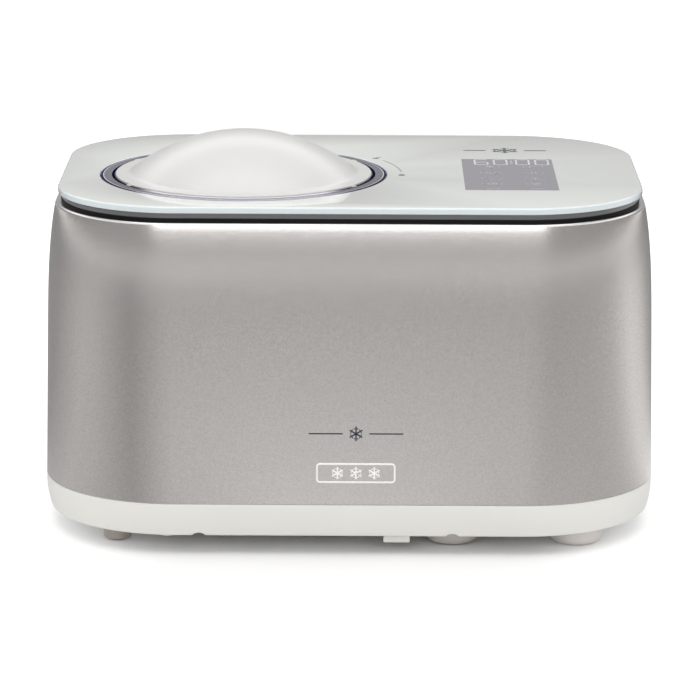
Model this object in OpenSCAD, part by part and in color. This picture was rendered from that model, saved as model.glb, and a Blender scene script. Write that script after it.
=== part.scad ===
// Compressor ice cream maker: a self-cooling bench-top machine with a lift-out bowl,
// a paddle driven from below, a turn-and-lift domed lid and a glass touch top.
// Millimetres, +Z up, +X to the right, +Y to the back, origin on the floor under the middle.

/* [Body] */
// Width of the body at its widest
body_w = 425; // [400:5:450]
// Depth of the body at its widest
body_d = 300; // [290:5:320]
// Height from the floor to the top of the glass
body_h = 240; // [236:1:250]
// Corner radius of the body in plan
corner_r = 94; // [85:1:100]
// Thickness of the metal casing
casing_t = 1.2; // [0.8:0.1:1.6]

/* [Base and feet] */
// Height of the feet under the base
foot_h = 14; // [12:1:16]
// Height of the white base between the feet and the metal casing
base_h = 22; // [20:1:24]
// Wall of the base
base_t = 2.6; // [2:0.1:3.5]

/* [Glass top] */
// Thickness of the glass
glass_t = 4.7; // [4:0.1:5]
// How far the glass is set in from the widest outline
glass_inset = 10.5; // [10:0.5:12]
// Width of the display window
display_w = 65; // [60:1:70]
// Depth of the display window
display_d = 117; // [100:1:120]

/* [Lid and bowl] */
// Radius of the clear lid rim
lid_r = 99.6; // [99:0.1:99.8]
// Radius of the white part of the lid
dome_r = 91; // [90.5:0.1:91]
// Radius of the curved cap on the lid
cap_r = 80; // [76:1:82]
// Height of the cap above the glass
cap_h = 30.2; // [26:0.2:34]
// Outer radius of the bowl
bowl_r = 78; // [76:0.5:78]
// Wall of the bowl
bowl_t = 1.5; // [1.2:0.1:1.8]

/* [Drive] */
// Gear module
gear_m = 1; // [1:0.05:1]
// Teeth of the motor pinion and of the small idler gear
pinion_n = 12; // [12:1:12]
// Teeth of the large idler gear
idler_n = 60; // [60:1:60]
// Teeth of the output gear
output_n = 72; // [72:1:72]

/* [Hidden] */
$fn = 96;

// Fine gap between pieces that move past each other
gap = 0.3;
seam_z = foot_h + base_h;
glass_z = body_h - glass_t;
casing_top = glass_z - 6.5;
half_w = body_w / 2;
half_d = body_d / 2;

// Casing profile: a slight draft, then a crown, then a small roll into the top flange
casing_draft = 0.02;
crown_z = 137;
crown_in = 4.8;
crown_power = 3.3;
roll_r = 3;
flange_w = 5;
base_tuck = 5.8;

// Lid, bowl and chamber axis
chamber = [-75, -17];
opening_r = 100.4;
seat_r = 88;
rim_z = glass_z + 1.7;
rim_step = 1;
skirt_r = 82.5;
skirt_t = 2.5;
skirt_z = 229.5;
dome_t = 2.4;
bowl_top = 226;
bowl_floor = 118;
bowl_rim_r = 85.5;
tube_r = 9;
tube_top = 168;
pot_r = 79.5;
pot_t = 2;
pot_floor = 114;
pot_top = 224.2;
coil_r = 3;
coil_turns = 8;
coil_pitch = 10;
foam_r = 108;
foam_in = 88.5;
foam_floor = 95;
foam_top = 214;
foam_split = 150;
lug_angles = [32, 148, 212, 328];

// Drive train
shaft_r = 4;
shaft_top = 184;
hex_r = 4.6;
pin_r = 3;
run = 0.05;
box_z = 58;
box_top = 92;
stage1_z = 63;
stage2_z = 73;
gear_w1 = 7;
gear_w2 = 10;
idler_at = chamber + [gear_m * (output_n + pinion_n) / 2, 0];
motor_turn = 110;
motor_at = idler_at + gear_m * (idler_n + pinion_n) / 2 * [cos(motor_turn), sin(motor_turn)];
rotor_r = 15;

// Cooling side
large_feet_x = [71.5, 157];
feet_y = 108;
small_foot_x = -160;
comp_at = [114, -8];
comp_r = 56;
carrier_z = 27;
fan_at = [114, 84, 108];
fan_w = 92;
cond_x = [42, 166];
cond_y = 113;
cond_z = [46, 168];
cond_t = 22;
row_gap = 20;
pipe_r = 3;

display_at = [111.5, -16.5];
badge_at = [5, 58.6];
grille_x = [6, 114];
grille_z = [52, 162];
gland_x = 90;

function along(a, b, n, i) = a + (b - a) * i / n;

// How far the casing stands in from the widest outline at a height
function casing_inset(z) =
    casing_draft * (z - seam_z)
    + crown_in * pow(max(0, (z - crown_z) / (casing_top - crown_z)), crown_power);

// Outline of a rounded rectangle, made of true arcs
module round_rect(a, b, r) {
    square([2 * a, 2 * (b - r)], center = true);
    square([2 * (a - r), 2 * b], center = true);
    for (x = [-1, 1], y = [-1, 1])
        translate([x * (a - r), y * (b - r)]) circle(r);
}

// The body's plan outline, set in by a distance
module plan(inset) round_rect(half_w - inset, half_d - inset, corner_r - inset);

// Sweeps a profile, X outwards from the widest outline and Y up, round the body's plan
module round_body() {
    quarter = [[1, 1, 0], [-1, 1, 90], [-1, -1, 180], [1, -1, 270]];
    for (q = quarter)
        translate([q[0] * (half_w - corner_r), q[1] * (half_d - corner_r), 0])
            rotate([0, 0, q[2]]) rotate_extrude(angle = 90) translate([corner_r, 0]) children();
    for (s = [0, 180]) {
        rotate([0, 0, s]) translate([half_w, 0, 0]) rotate([90, 0, 0])
            linear_extrude(2 * (half_d - corner_r), center = true) children();
        rotate([0, 0, s + 90]) translate([half_d, 0, 0]) rotate([90, 0, 0])
            linear_extrude(2 * (half_w - corner_r), center = true) children();
    }
}

module at_chamber(z = 0) translate([chamber[0], chamber[1], z]) children();

module ring(r_out, r_in, h) difference() {
    cylinder(r = r_out, h = h);
    translate([0, 0, -1]) cylinder(r = r_in, h = h + 2);
}

// A block given by its corners
module block(lo, hi) translate(lo) cube(hi - lo);

// A unit vector square to a direction, as near as can be to another vector
function square_to(v, d) = let (s = v - (v * d) * d) s / norm(s);

// A round pipe swept along a list of points
module pipe(points, r, sides = 8) {
    n = len(points);
    dirs = [for (i = [0:n - 1])
        let (d = points[min(i + 1, n - 1)] - points[max(i - 1, 0)]) d / norm(d)];
    // The side direction is carried along the route, so the pipe never twists
    first = cross(dirs[0], [0, 0, 1]);
    side = [for (i = 0, s = first / norm(first); i < n;
        i = i + 1, s = square_to(s, dirs[min(i, n - 1)])) s];
    verts = [for (i = [0:n - 1], k = [0:sides - 1])
        points[i] + r * (cos(360 * k / sides) * side[i]
            + sin(360 * k / sides) * cross(dirs[i], side[i]))];
    walls = [for (i = [0:n - 2], k = [0:sides - 1])
        let (j = (k + 1) % sides)
        [i * sides + k, i * sides + j, (i + 1) * sides + j, (i + 1) * sides + k]];
    ends = [[for (k = [sides - 1:-1:0]) k], [for (k = [0:sides - 1]) (n - 1) * sides + k]];
    polyhedron(verts, concat(walls, ends), convexity = 8);
}

// Rounds the corners of a pipe's route: each corner becomes a short quadratic curve
function bent(route, r = 12, steps = 4) = concat([route[0]], [
    for (i = [1:len(route) - 2], k = [0:steps])
        let (
            p = route[i],
            a = p + (route[i - 1] - p) / norm(route[i - 1] - p) * r,
            b = p + (route[i + 1] - p) / norm(route[i + 1] - p) * r,
            t = k / steps
        ) (1 - t) * (1 - t) * a + 2 * t * (1 - t) * p + t * t * b
], [route[len(route) - 1]]);

// Involute gear outline at a 25 degree pressure angle, a tooth centred on +X
pressure = 25;
backlash = 0.12;
function inv(a) = tan(a) - a * PI / 180;
function half_tooth(n, r) =
    let (rp = gear_m * n / 2, rb = rp * cos(pressure))
    90 / n - backlash / rp * 180 / PI
    + (inv(pressure) - inv(acos(min(1, rb / max(r, rb))))) * 180 / PI;
function gear_outline(n) =
    let (
        rp = gear_m * n / 2,
        foot = rp - 1.25 * gear_m,
        radii = [foot, max(foot, rp * cos(pressure)), rp, rp + gear_m]
    )
    [for (i = [0:n - 1], s = [-1, 1], k = [0:3])
        let (r = radii[s < 0 ? k : 3 - k], a = 360 * i / n + s * half_tooth(n, r))
        r * [cos(a), sin(a)]];
module gear_blank(n, w, turn = 0) rotate([0, 0, turn]) linear_extrude(w) polygon(gear_outline(n));
module gear(n, w, bore, turn = 0) difference() {
    gear_blank(n, w, turn);
    translate([0, 0, -1]) cylinder(r = bore, h = w + 2);
}

// ---- Housing ----

module outer_casing() color([0.70, 0.69, 0.68]) {
    steps = 12;
    wall_top = casing_top - roll_r;
    outside = [for (i = [0:steps]) let (z = along(seam_z, wall_top, steps, i)) [-casing_inset(z), z]];
    roll_x = -casing_inset(wall_top) - roll_r;
    roll = [for (a = [15:15:90]) [roll_x + roll_r * cos(a), wall_top + roll_r * sin(a)]];
    inner_roll = [for (a = [90:-15:15])
        [roll_x + (roll_r - casing_t) * cos(a), wall_top + (roll_r - casing_t) * sin(a)]];
    inside = [for (i = [steps:-1:0]) outside[i] - [casing_t, 0]];
    difference() {
        round_body() polygon(concat(
            outside, roll,
            [[roll_x - flange_w, casing_top], [roll_x - flange_w, casing_top - casing_t]],
            inner_roll, inside));
        block([grille_x[0], half_d - 12, grille_z[0]], [grille_x[1], half_d + 1, grille_z[1]]);
        // Shallow pocket that the badge sits in
        at_badge() linear_extrude(5) round_rect(27.1, 7.1, 2.6);
    }
}

// Base wall outline from the seam down to the tucked-in lower edge
function base_inset(z) = base_tuck * pow((seam_z - z) / base_h, 2.6);

module base_tray() color([0.93, 0.93, 0.91]) {
    steps = 7;
    wall = [for (i = [0:steps]) let (z = along(seam_z, foot_h, steps, i)) [-base_inset(z), z]];
    back = [for (i = [steps:-1:0]) wall[i] - [base_t, 0]];
    floor_t = 3;
    difference() {
        union() {
            round_body() polygon(concat(wall, back));
            translate([0, 0, foot_h + 1]) linear_extrude(floor_t) plan(base_tuck + 1.2);
        }
        // Screw access notches in the front lower edge
        for (x = [-102, 71]) translate([x, -half_d - 1, foot_h - 3.5]) rotate([-90, 0, 0])
            cylinder(r = 6, h = 14);
        // Air slots under the compressor and the chamber
        for (x = [66:9:165]) block([x, -60, foot_h], [x + 3.5, 62, foot_h + 5]);
        for (x = [-180, -168, 8, 17]) block([x, -60, foot_h], [x + 3.5, 40, foot_h + 5]);
        // Gland pocket in the back wall
        block([gland_x - 12, half_d - 16, foot_h + 3], [gland_x + 12, half_d + 1, foot_h + 21]);
        for (p = screw_places) translate([p[0], p[1], foot_h - 1]) cylinder(r = 2.2, h = 6);
    }
    // Pocket walls for the gland
    difference() {
        block([gland_x - 14, half_d - 18, foot_h + 4], [gland_x + 14, half_d - base_t - 1, foot_h + 21.5]);
        block([gland_x - 12, half_d - 16, foot_h + 3], [gland_x + 12, half_d, foot_h + 22]);
        translate([gland_x, half_d - 30, foot_h + 12]) rotate([-90, 0, 0]) cylinder(r = 6.05, h = 20);
    }
    // Moulded lug and screw boss under the front edge
    block([24, -142, foot_h - 5.5], [42, -132, foot_h + 2]);
    translate([-124, -138, foot_h - 1.6]) cylinder(r = 4.5, h = 3);
}
screw_places = [[-190, 0], [190, 0], [0, -120], [0, 124], [-100, 110], [-60, -132]];

// A foot that tapers to a rounded lower edge, with a seat for its pad
module foot(r_top, r_low, pad, edge) rotate_extrude() polygon(concat(
    [[pad, 2], [pad, 0.6]],
    [for (a = [-75:15:0]) [r_low - edge + edge * cos(a), 0.6 + edge * (1 + sin(a))]],
    [[r_top, foot_h + 1], [0, foot_h + 1], [0, 2]]));

module each_small_foot() for (y = [-1, 1]) translate([small_foot_x, y * feet_y, 0]) children();
module each_large_foot() for (x = large_feet_x, y = [-1, 1]) translate([x, y * feet_y, 0]) children();

module small_feet() color([0.62, 0.59, 0.57]) each_small_foot() foot(10.5, 9.6, 6, 2.6);
module large_feet() color([0.80, 0.78, 0.76]) each_large_foot() foot(20, 19, 12, 5.5);
module foot_pads() color([0.25, 0.24, 0.24]) {
    each_small_foot() cylinder(r = 6, h = 2);
    each_large_foot() cylinder(r = 12, h = 2);
}

module base_screws() color([0.55, 0.55, 0.57])
    for (p = screw_places) translate([p[0], p[1], foot_h - 1.2]) {
        cylinder(r = 3.8, h = 2.2);
        cylinder(r = 2, h = 12);
    }

module top_frame() color([0.06, 0.06, 0.07]) round_body() polygon([
    [-12.6, casing_top + 0.1], [-12.6, glass_z - 4.3], [-19, glass_z - 4.3], [-19, 212],
    [-16.6, 212], [-16.6, casing_top + 0.1]]);

module trim_band() color([0.33, 0.33, 0.33]) round_body() polygon([
    [-13.4, glass_z - 4.3], [-12.9, glass_z], [-17, glass_z], [-17, glass_z - 4.3]]);

module top_deck() color([0.92, 0.93, 0.91]) difference() {
    translate([0, 0, glass_z - 4.3]) linear_extrude(4.3) plan(17.2);
    at_chamber(glass_z - 6) cylinder(r = opening_r, h = 8);
    translate([display_at[0], display_at[1], glass_z]) cube([display_w, display_d, 12], center = true);
}

module glass_top() color([0.86, 0.91, 0.89]) difference() {
    translate([0, 0, glass_z]) linear_extrude(glass_t) plan(glass_inset);
    at_chamber(glass_z - 1) cylinder(r = opening_r, h = glass_t + 2);
}

module display_lens() color([0.64, 0.63, 0.67])
    translate([display_at[0], display_at[1], glass_z - 1.7])
        cube([display_w - 0.4, display_d - 0.4, 3], center = true);

module display_board() color([0.10, 0.35, 0.20]) translate([display_at[0], display_at[1], 0]) {
    translate([0, 0, 222.8]) cube([76, 132, 1.6], center = true);
    translate([0, 30, 226.9]) cube([54, 26, 6.6], center = true);
    for (y = [-40, -20, 0], x = [-18, 18]) translate([x, y, 223.6]) cylinder(r = 5, h = 5);
}

// Seat that the lid rim rests on, set in the hole through glass and deck
module lid_seat() color([0.36, 0.35, 0.38]) at_chamber() difference() {
    union() {
        translate([0, 0, glass_z - 5.5]) cylinder(r = opening_r - 0.2, h = 7);
        translate([0, 0, pot_top]) cylinder(r = 96, h = 8);
    }
    translate([0, 0, glass_z - 5.4]) cylinder(r = seat_r, h = 9);
    translate([0, 0, pot_top - 1]) cylinder(r = 92, h = 7);
    rotate([0, 0, 30]) translate([94, 0, pot_top - 1]) cylinder(r = 1.7, h = 20);
}

module at_switch() at_chamber() rotate([0, 0, 30]) translate([94, 0, 0]) children();
module lid_switch() color([0.12, 0.12, 0.12]) at_switch() difference() {
    block([3, -5, foam_top + 0.3], [11, 5, 220.6]);
    translate([5, 0, 218.6]) cylinder(r = 1.2, h = 5);
}
module switch_plunger() color([0.85, 0.30, 0.20]) at_switch() {
    translate([0, 0, 223.3]) cylinder(r = 1.4, h = 13.3);
    block([-1.4, -1.4, 221.9], [6.5, 1.4, 223.5]);
}

module at_badge() translate([badge_at[0], -half_d + casing_inset(badge_at[1]) + 0.7, badge_at[1]])
    rotate([90, 0, 0]) children();
module front_badge() color([0.86, 0.86, 0.86]) at_badge() difference() {
    linear_extrude(1.1) round_rect(27, 7, 2.5);
    translate([0, 0, 0.6]) linear_extrude(2) round_rect(25.4, 5.4, 1.6);
}

// Louvred vent panel in the back of the casing
module rear_grille() color([0.88, 0.88, 0.86]) difference() {
    block([grille_x[0] + 0.3, half_d - casing_inset(grille_z[1]) - 4, grille_z[0] + 0.3],
          [grille_x[1] - 0.3, half_d - casing_inset(grille_z[1]), grille_z[1] - 0.3]);
    for (z = [grille_z[0] + 6:7:grille_z[1] - 8], x = [grille_x[0] + 6, grille_x[0] + 57])
        block([x, half_d - 12, z], [x + 45, half_d + 1, z + 3.6]);
}

module cord_gland() color([0.10, 0.10, 0.10])
    translate([gland_x, half_d - 18.8, foot_h + 12]) rotate([-90, 0, 0]) difference() {
        union() {
            cylinder(r = 6, h = 18);
            translate([0, 0, 2.9]) cylinder(r = 8, h = 3);
            translate([0, 0, -3]) cylinder(r = 8, h = 3.8);
        }
        translate([0, 0, -4]) cylinder(r = 3.6, h = 24);
    }

// ---- Lid ----

module lid_rim() color([0.72, 0.70, 0.80, 0.5]) at_chamber() {
    rotate_extrude() polygon([
        [skirt_r, rim_z], [lid_r, rim_z], [lid_r, body_h - 0.8],
        [lid_r - 0.8, body_h], [dome_r + 0.4, body_h], [dome_r + 0.4, body_h - rim_step],
        [skirt_r, body_h - rim_step]]);
    for (a = lug_angles) rotate([0, 0, a])
        block([dome_r + 0.4, -2.5, body_h - 0.1], [dome_r + 2.6, 2.5, body_h + 0.7]);
}

// Skirt under the rim, with bayonet tabs
module lid_skirt() color([0.72, 0.70, 0.80, 0.5]) at_chamber() {
    translate([0, 0, skirt_z]) ring(skirt_r + skirt_t, skirt_r, rim_z - skirt_z);
    for (a = lug_angles) rotate([0, 0, a])
        block([skirt_r + skirt_t - 0.5, -8, skirt_z + 0.5], [skirt_r + skirt_t + 0.6, 8, skirt_z + 3.5]);
}

// White domed cap: a flat margin, a small sweep up, and a spherical cap
module lid_dome() color([0.95, 0.95, 0.94]) at_chamber() {
    rise = cap_h - 1.2;
    big = (cap_r * cap_r + rise * rise) / (2 * rise);
    low = body_h + 1.2;
    top = low + rise;
    cap = [for (r = [cap_r:-8:0]) [r, top - big + sqrt(big * big - r * r)]];
    under = [for (r = [0:8:cap_r - 4]) [r, top - big + sqrt(pow(big - dome_t, 2) - r * r)]];
    rotate_extrude() polygon(concat(
        [[dome_r, body_h - rim_step], [dome_r, low], [cap_r + 2.5, low + 0.3]],
        cap, under,
        [[cap_r, body_h - rim_step]]));
}

module lid_seal() color([0.90, 0.90, 0.90]) at_chamber(bowl_top + gap)
    ring(84.8, 80.6, skirt_z - bowl_top - 2 * gap);

// ---- Bowl and paddle ----

module bowl() color([0.78, 0.78, 0.79]) at_chamber() difference() {
    union() {
        translate([0, 0, bowl_floor]) cylinder(r = bowl_r, h = bowl_top - bowl_floor);
        translate([0, 0, bowl_top - 1.4]) cylinder(r = bowl_rim_r, h = 1.4);
    }
    translate([0, 0, bowl_floor + 2]) ring(bowl_r - bowl_t, tube_r, tube_top - bowl_floor - 2);
    translate([0, 0, tube_top]) cylinder(r = bowl_r - bowl_t, h = 80);
    translate([0, 0, bowl_floor - 1]) cylinder(r = tube_r - 2, h = 80);
}

module paddle() color([0.95, 0.95, 0.95]) at_chamber() {
    floor_z = bowl_floor + 3.2;
    reach = bowl_r - bowl_t - 1.5;
    difference() {
        union() {
            translate([0, 0, floor_z]) cylinder(r = 13, h = 66);
            for (s = [0, 180]) rotate([0, 0, s]) {
                // Floor scraper, wall scraper and a sloping brace
                block([10, -1.5, floor_z], [reach - 1, 1.5, floor_z + 9]);
                block([reach - 9, -1.5, floor_z], [reach - 1, 1.5, floor_z + 78]);
                translate([10, 0, floor_z + 50]) rotate([0, -12, 0])
                    block([0, -1.5, 0], [reach - 16, 1.5, 7]);
                // Angled mixing blade
                translate([38, 0, floor_z + 4]) rotate([0, 0, 30]) block([-7, -1.2, 0], [7, 1.2, 50]);
            }
        }
        translate([0, 0, floor_z - 1]) cylinder(r = tube_r + 0.8, h = tube_top + 2 - floor_z + 1);
        cylinder(r = hex_r + 0.35, h = shaft_top + 1, $fn = 6);
    }
}

// ---- Freezing chamber ----

module evaporator_pot() color([0.75, 0.76, 0.77]) at_chamber() difference() {
    union() {
        translate([0, 0, pot_floor]) cylinder(r = pot_r + pot_t, h = pot_top - pot_floor);
        translate([0, 0, pot_top - 2]) cylinder(r = 91.5, h = 2);
        translate([0, 0, pot_floor - 10]) cylinder(r = 12, h = 11);
    }
    translate([0, 0, pot_floor + pot_t]) cylinder(r = pot_r, h = 140);
    translate([0, 0, pot_floor - 11]) cylinder(r = 8, h = 20);
}

module evaporator_coil() color([0.72, 0.45, 0.30]) {
    per_turn = 30;
    mid_r = pot_r + pot_t + coil_r + 0.55;
    at_chamber() pipe([for (i = [0:per_turn * coil_turns])
        let (a = 360 * i / per_turn)
        [mid_r * cos(a), mid_r * sin(a), 124 + coil_pitch * i / per_turn]], coil_r);
}

module insulation(z0, z1) difference() {
    at_chamber(z0) cylinder(r = foam_r, h = z1 - z0);
    at_chamber(pot_floor - 0.5) cylinder(r = foam_in, h = 150);
    at_chamber(z0 - 1) cylinder(r = 12.3, h = 40);
    // Channel for the pipe tails
    block([chamber[0] + foam_in - 6, chamber[1] - 5, 118], [chamber[0] + foam_r + 1, chamber[1] + 5, 216]);
}
module insulation_upper() color([0.93, 0.93, 0.90]) insulation(foam_split + 0.1, foam_top);
module insulation_lower() color([0.90, 0.90, 0.87]) insulation(foam_floor, foam_split);

module chamber_bracket() color([0.62, 0.63, 0.64]) {
    difference() {
        at_chamber(93) linear_extrude(2) round_rect(86, 86, 12);
        at_chamber(90) cylinder(r = 12.5, h = 8);
    }
    for (x = [-76, 76], y = [-76, 76]) at_chamber(foot_h + 4)
        translate([x, y, 0]) cylinder(r = 5, h = 93 - foot_h - 4);
}

// ---- Drive ----

box_at = chamber + [17, 3];
module gearbox_case() color([0.35, 0.36, 0.38]) difference() {
    translate([box_at[0], box_at[1], box_z]) linear_extrude(box_top - 2 - box_z) round_rect(62, 46, 14);
    translate([box_at[0], box_at[1], box_z + 2.5]) linear_extrude(60) round_rect(59.5, 43.5, 11.5);
    translate([motor_at[0], motor_at[1], box_z - 1]) cylinder(r = 5, h = 5);
    at_chamber(box_z - 1) cylinder(r = 7, h = 5);
    translate([idler_at[0], idler_at[1], box_z - 1]) cylinder(r = pin_r, h = 5);
}
module gearbox_cover() color([0.30, 0.31, 0.33]) difference() {
    translate([box_at[0], box_at[1], box_top - 2]) linear_extrude(2) round_rect(62, 46, 14);
    at_chamber(box_top - 3) cylinder(r = 7, h = 5);
    translate([idler_at[0], idler_at[1], box_top - 3]) cylinder(r = pin_r, h = 5);
}
module shaft_bushes() color([0.72, 0.55, 0.30]) {
    at_chamber(box_z) ring(7, shaft_r + run, 4);
    at_chamber(box_top - 2) ring(7, shaft_r + run, 10);
    at_chamber(pot_floor - 10) ring(8, shaft_r + run, 8);
    translate([motor_at[0], motor_at[1], box_z]) ring(5, pin_r + run, 3);
    translate([motor_at[0], motor_at[1], 22]) ring(5, pin_r + run, 4);
}
module shaft_seal() color([0.15, 0.15, 0.16]) at_chamber(pot_floor - 2) ring(8, shaft_r + run, 5);

module drive_shaft() color([0.80, 0.80, 0.82]) at_chamber() {
    translate([0, 0, box_z + 0.5]) cylinder(r = shaft_r, h = 172 - box_z);
    translate([0, 0, 170]) cylinder(r = hex_r, h = shaft_top - 170, $fn = 6);
}
module output_gear() color([0.88, 0.86, 0.78]) at_chamber(stage2_z)
    gear(output_n, gear_w2, shaft_r, 180 / output_n);
module idler_pin() color([0.75, 0.75, 0.77]) translate([idler_at[0], idler_at[1], box_z])
    cylinder(r = pin_r, h = box_top - box_z);
module idler_gear() color([0.85, 0.84, 0.78]) translate([idler_at[0], idler_at[1], stage1_z]) difference() {
    union() {
        gear_blank(idler_n, gear_w1, motor_turn);
        cylinder(r = 10, h = gear_w1 + 1.5);
        translate([0, 0, gear_w1 - 1]) gear_blank(pinion_n, 16, 180);
    }
    translate([0, 0, -1]) cylinder(r = pin_r + run, h = 40);
}

module motor_stator() color([0.45, 0.46, 0.48]) translate([motor_at[0], motor_at[1], 30]) difference() {
    linear_extrude(20) round_rect(32, 28, 4);
    translate([0, 0, -1]) cylinder(r = rotor_r + 0.5, h = 30);
    for (x = [-1, 1]) block([x * 24 - 4, -12, -1], [x * 24 + 4, 12, 30]);
}
module motor_coils() color([0.75, 0.42, 0.22]) translate([motor_at[0], motor_at[1], 0])
    for (x = [-1, 1]) difference() {
        block([x * 24 - 7.9, -11.5, 26], [x * 24 + 7.9, 11.5, 54]);
        block([x * 24 - 9, -13, 29.9], [x * 24 - 3.8, 13, 50.1]);
        block([x * 24 + 3.8, -13, 29.9], [x * 24 + 9, 13, 50.1]);
    }
module motor_bracket() color([0.66, 0.66, 0.67]) translate([motor_at[0], motor_at[1], 0]) {
    difference() {
        translate([0, 0, 22]) linear_extrude(2) round_rect(32, 10, 3);
        translate([0, 0, 20]) cylinder(r = 5, h = 6);
    }
    for (x = [-1, 1], y = [-1, 1]) translate([x * 28, y * 22, 0]) {
        translate([0, 0, 20]) cylinder(r = 2.5, h = 10);
        translate([0, 0, 50]) cylinder(r = 2.5, h = box_z - 50);
    }
    for (x = [-1, 1]) block([x * 28 - 3, -22, 22], [x * 28 + 3, 22, 24]);
}
module motor_rotor() color([0.58, 0.58, 0.60]) translate([motor_at[0], motor_at[1], 0]) {
    translate([0, 0, 29]) cylinder(r = rotor_r, h = 22);
    translate([0, 0, 21]) cylinder(r = pin_r, h = 50);
}
module motor_pinion() color([0.80, 0.72, 0.45]) translate([motor_at[0], motor_at[1], stage1_z - 0.5])
    gear(pinion_n, gear_w1 + 1, pin_r, motor_turn + 180 + 180 / pinion_n);

// ---- Cooling side ----

module carrier_plate() color([0.58, 0.60, 0.62]) difference() {
    translate([comp_at[0], 0, carrier_z]) linear_extrude(2) round_rect(60, 124, 12);
    each_large_foot() translate([0, 0, carrier_z - 1]) cylinder(r = 7, h = 4);
}
module carrier_grommets() color([0.14, 0.14, 0.14]) each_large_foot() difference() {
    union() {
        translate([0, 0, foot_h + 4]) cylinder(r = 11, h = carrier_z - foot_h - 4);
        translate([0, 0, carrier_z]) cylinder(r = 7, h = 2);
        translate([0, 0, carrier_z + 2]) cylinder(r = 10, h = 3);
    }
    translate([0, 0, foot_h + 3]) cylinder(r = 3, h = 20);
}

module compressor_shell() color([0.08, 0.08, 0.09]) translate([comp_at[0], comp_at[1], carrier_z + 2]) {
    rotate_extrude() polygon(concat(
        [[0, 0.2], [comp_r - 16, 0.2], [comp_r - 4, 10], [comp_r, 22], [comp_r, 66], [comp_r + 3, 68],
         [comp_r + 3, 72], [comp_r - 1, 74]],
        [for (a = [0:10:80]) [22 + (comp_r - 23) * cos(a), 100 + 34 * sin(a)]],
        [[0, 134.5]]));
    for (a = [50, 170, 290]) rotate([0, 0, a]) block([comp_r - 12, -9, 0], [comp_r + 7, 9, 9]);
    rotate([0, 0, 75]) translate([28, 0, 118]) cylinder(r = 4.2, h = 16);
}
module compressor_cover() color([0.16, 0.16, 0.17])
    block([comp_at[0] + comp_r + 1, comp_at[1] - 19, 46], [comp_at[0] + comp_r + 18, comp_at[1] + 19, 90]);

cond_rows = [for (i = [0:5]) cond_z[0] + 11 + i * row_gap];
module condenser_fins() color([0.74, 0.75, 0.76])
    for (x = [cond_x[0] + 12:6:cond_x[1] - 12]) difference() {
        block([x, cond_y, cond_z[0]], [x + 0.8, cond_y + cond_t, cond_z[1]]);
        for (z = cond_rows) translate([x - 1, cond_y + cond_t / 2, z]) rotate([0, 90, 0])
            cylinder(r = pipe_r + 0.02, h = 3, $fn = 32);
    }
module condenser_tube() color([0.74, 0.46, 0.30]) {
    straight = cond_x[1] - cond_x[0] - 20;
    for (z = cond_rows) translate([cond_x[0] + 10, cond_y + cond_t / 2, z]) rotate([0, 90, 0])
        cylinder(r = pipe_r, h = straight, $fn = 32);
    for (i = [0:4]) translate([i % 2 == 0 ? cond_x[1] - 10 : cond_x[0] + 10, cond_y + cond_t / 2,
            cond_rows[i] + row_gap / 2])
        rotate([90, i % 2 == 0 ? 90 : -90, 0]) rotate_extrude(angle = 180, $fn = 32)
            translate([row_gap / 2, 0]) circle(pipe_r);
}

module at_fan() translate(fan_at) rotate([-90, 0, 0]) children();
module fan_frame() color([0.12, 0.12, 0.13]) at_fan() difference() {
    linear_extrude(25) round_rect(fan_w / 2, fan_w / 2, 5);
    translate([0, 0, -1]) cylinder(r = 43, h = 22);
    for (a = [0:90:270]) rotate([0, 0, a + 45]) translate([58, 0, -1]) cylinder(r = 2.2, h = 30);
    // Four arms are left across the outlet side
    for (a = [0:90:270]) rotate([0, 0, a]) translate([0, 0, 20]) difference() {
        intersection() {
            ring(43, 17, 8);
            block([3, 3, -1], [50, 50, 9]);
        }
    }
}
module fan_motor() color([0.18, 0.18, 0.19]) at_fan() translate([0, 0, 16.5]) cylinder(r = 16, h = 4.5);
module fan_rotor() color([0.16, 0.16, 0.17]) at_fan() {
    translate([0, 0, 2]) cylinder(r = 17, h = 14);
    for (a = [0:360 / 7:359]) rotate([0, 0, a]) translate([16, 0, 9]) rotate([38, 0, 0])
        block([0, -8.5, -0.8], [24, 8.5, 0.8]);
}

module filter_drier() color([0.76, 0.48, 0.32]) translate([180, -86, 0]) rotate_extrude() polygon([
    [0, 62], [2.4, 62], [2.6, 72], [9, 80], [9, 138], [2.6, 146], [2.4, 156], [0, 156]]);

suction_route = [[chamber[0] + foam_r + 3, chamber[1], 190], [50, chamber[1], 190], [60, -70, 190],
    [100, -80, 150], [100, -80, 60], [104, -68, 40]];
discharge_route = [[88.3, 42.4, 60], [74, 62, 60], [42, 72, 60], [30, 96, 60], [34, 124, 57],
    [51.9, 124, 57]];
liquid_route = [[52, 124, 157], [34, 116, 157], [34, 90, 178], [60, 66, 182], [150, 66, 182],
    [192, 40, 182], [194, -60, 176], [180, -86, 168], [180, -86, 157]];
module suction_pipe() color([0.76, 0.48, 0.32]) pipe(bent(suction_route, 9), 3);
module discharge_pipe() color([0.76, 0.48, 0.32]) pipe(bent(discharge_route, 6), 2.4);
module liquid_pipe() color([0.76, 0.48, 0.32]) pipe(bent(liquid_route, 9), 2);

// ---- Electronics ----

board_lo = [-150, 127, 62];
module power_board() color([0.10, 0.38, 0.22]) block(board_lo, board_lo + [108, 1.6, 72]);
module board_parts() color([0.20, 0.20, 0.22]) {
    block([-144, 101, 68], [-110, 127, 96]);
    block([-104, 107, 70], [-76, 127, 88]);
    block([-70, 110, 100], [-48, 127, 126]);
    for (x = [-138, -120, -102]) translate([x, 127, 116]) rotate([90, 0, 0]) cylinder(r = 6.5, h = 20);
    // Posts between the board and the casing
    for (x = [-112, -50], z = [68, 128]) translate([x, 128.6, z]) rotate([-90, 0, 0])
        cylinder(r = 3, h = half_d - casing_inset(z) - casing_t - 128.65);
}

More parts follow.
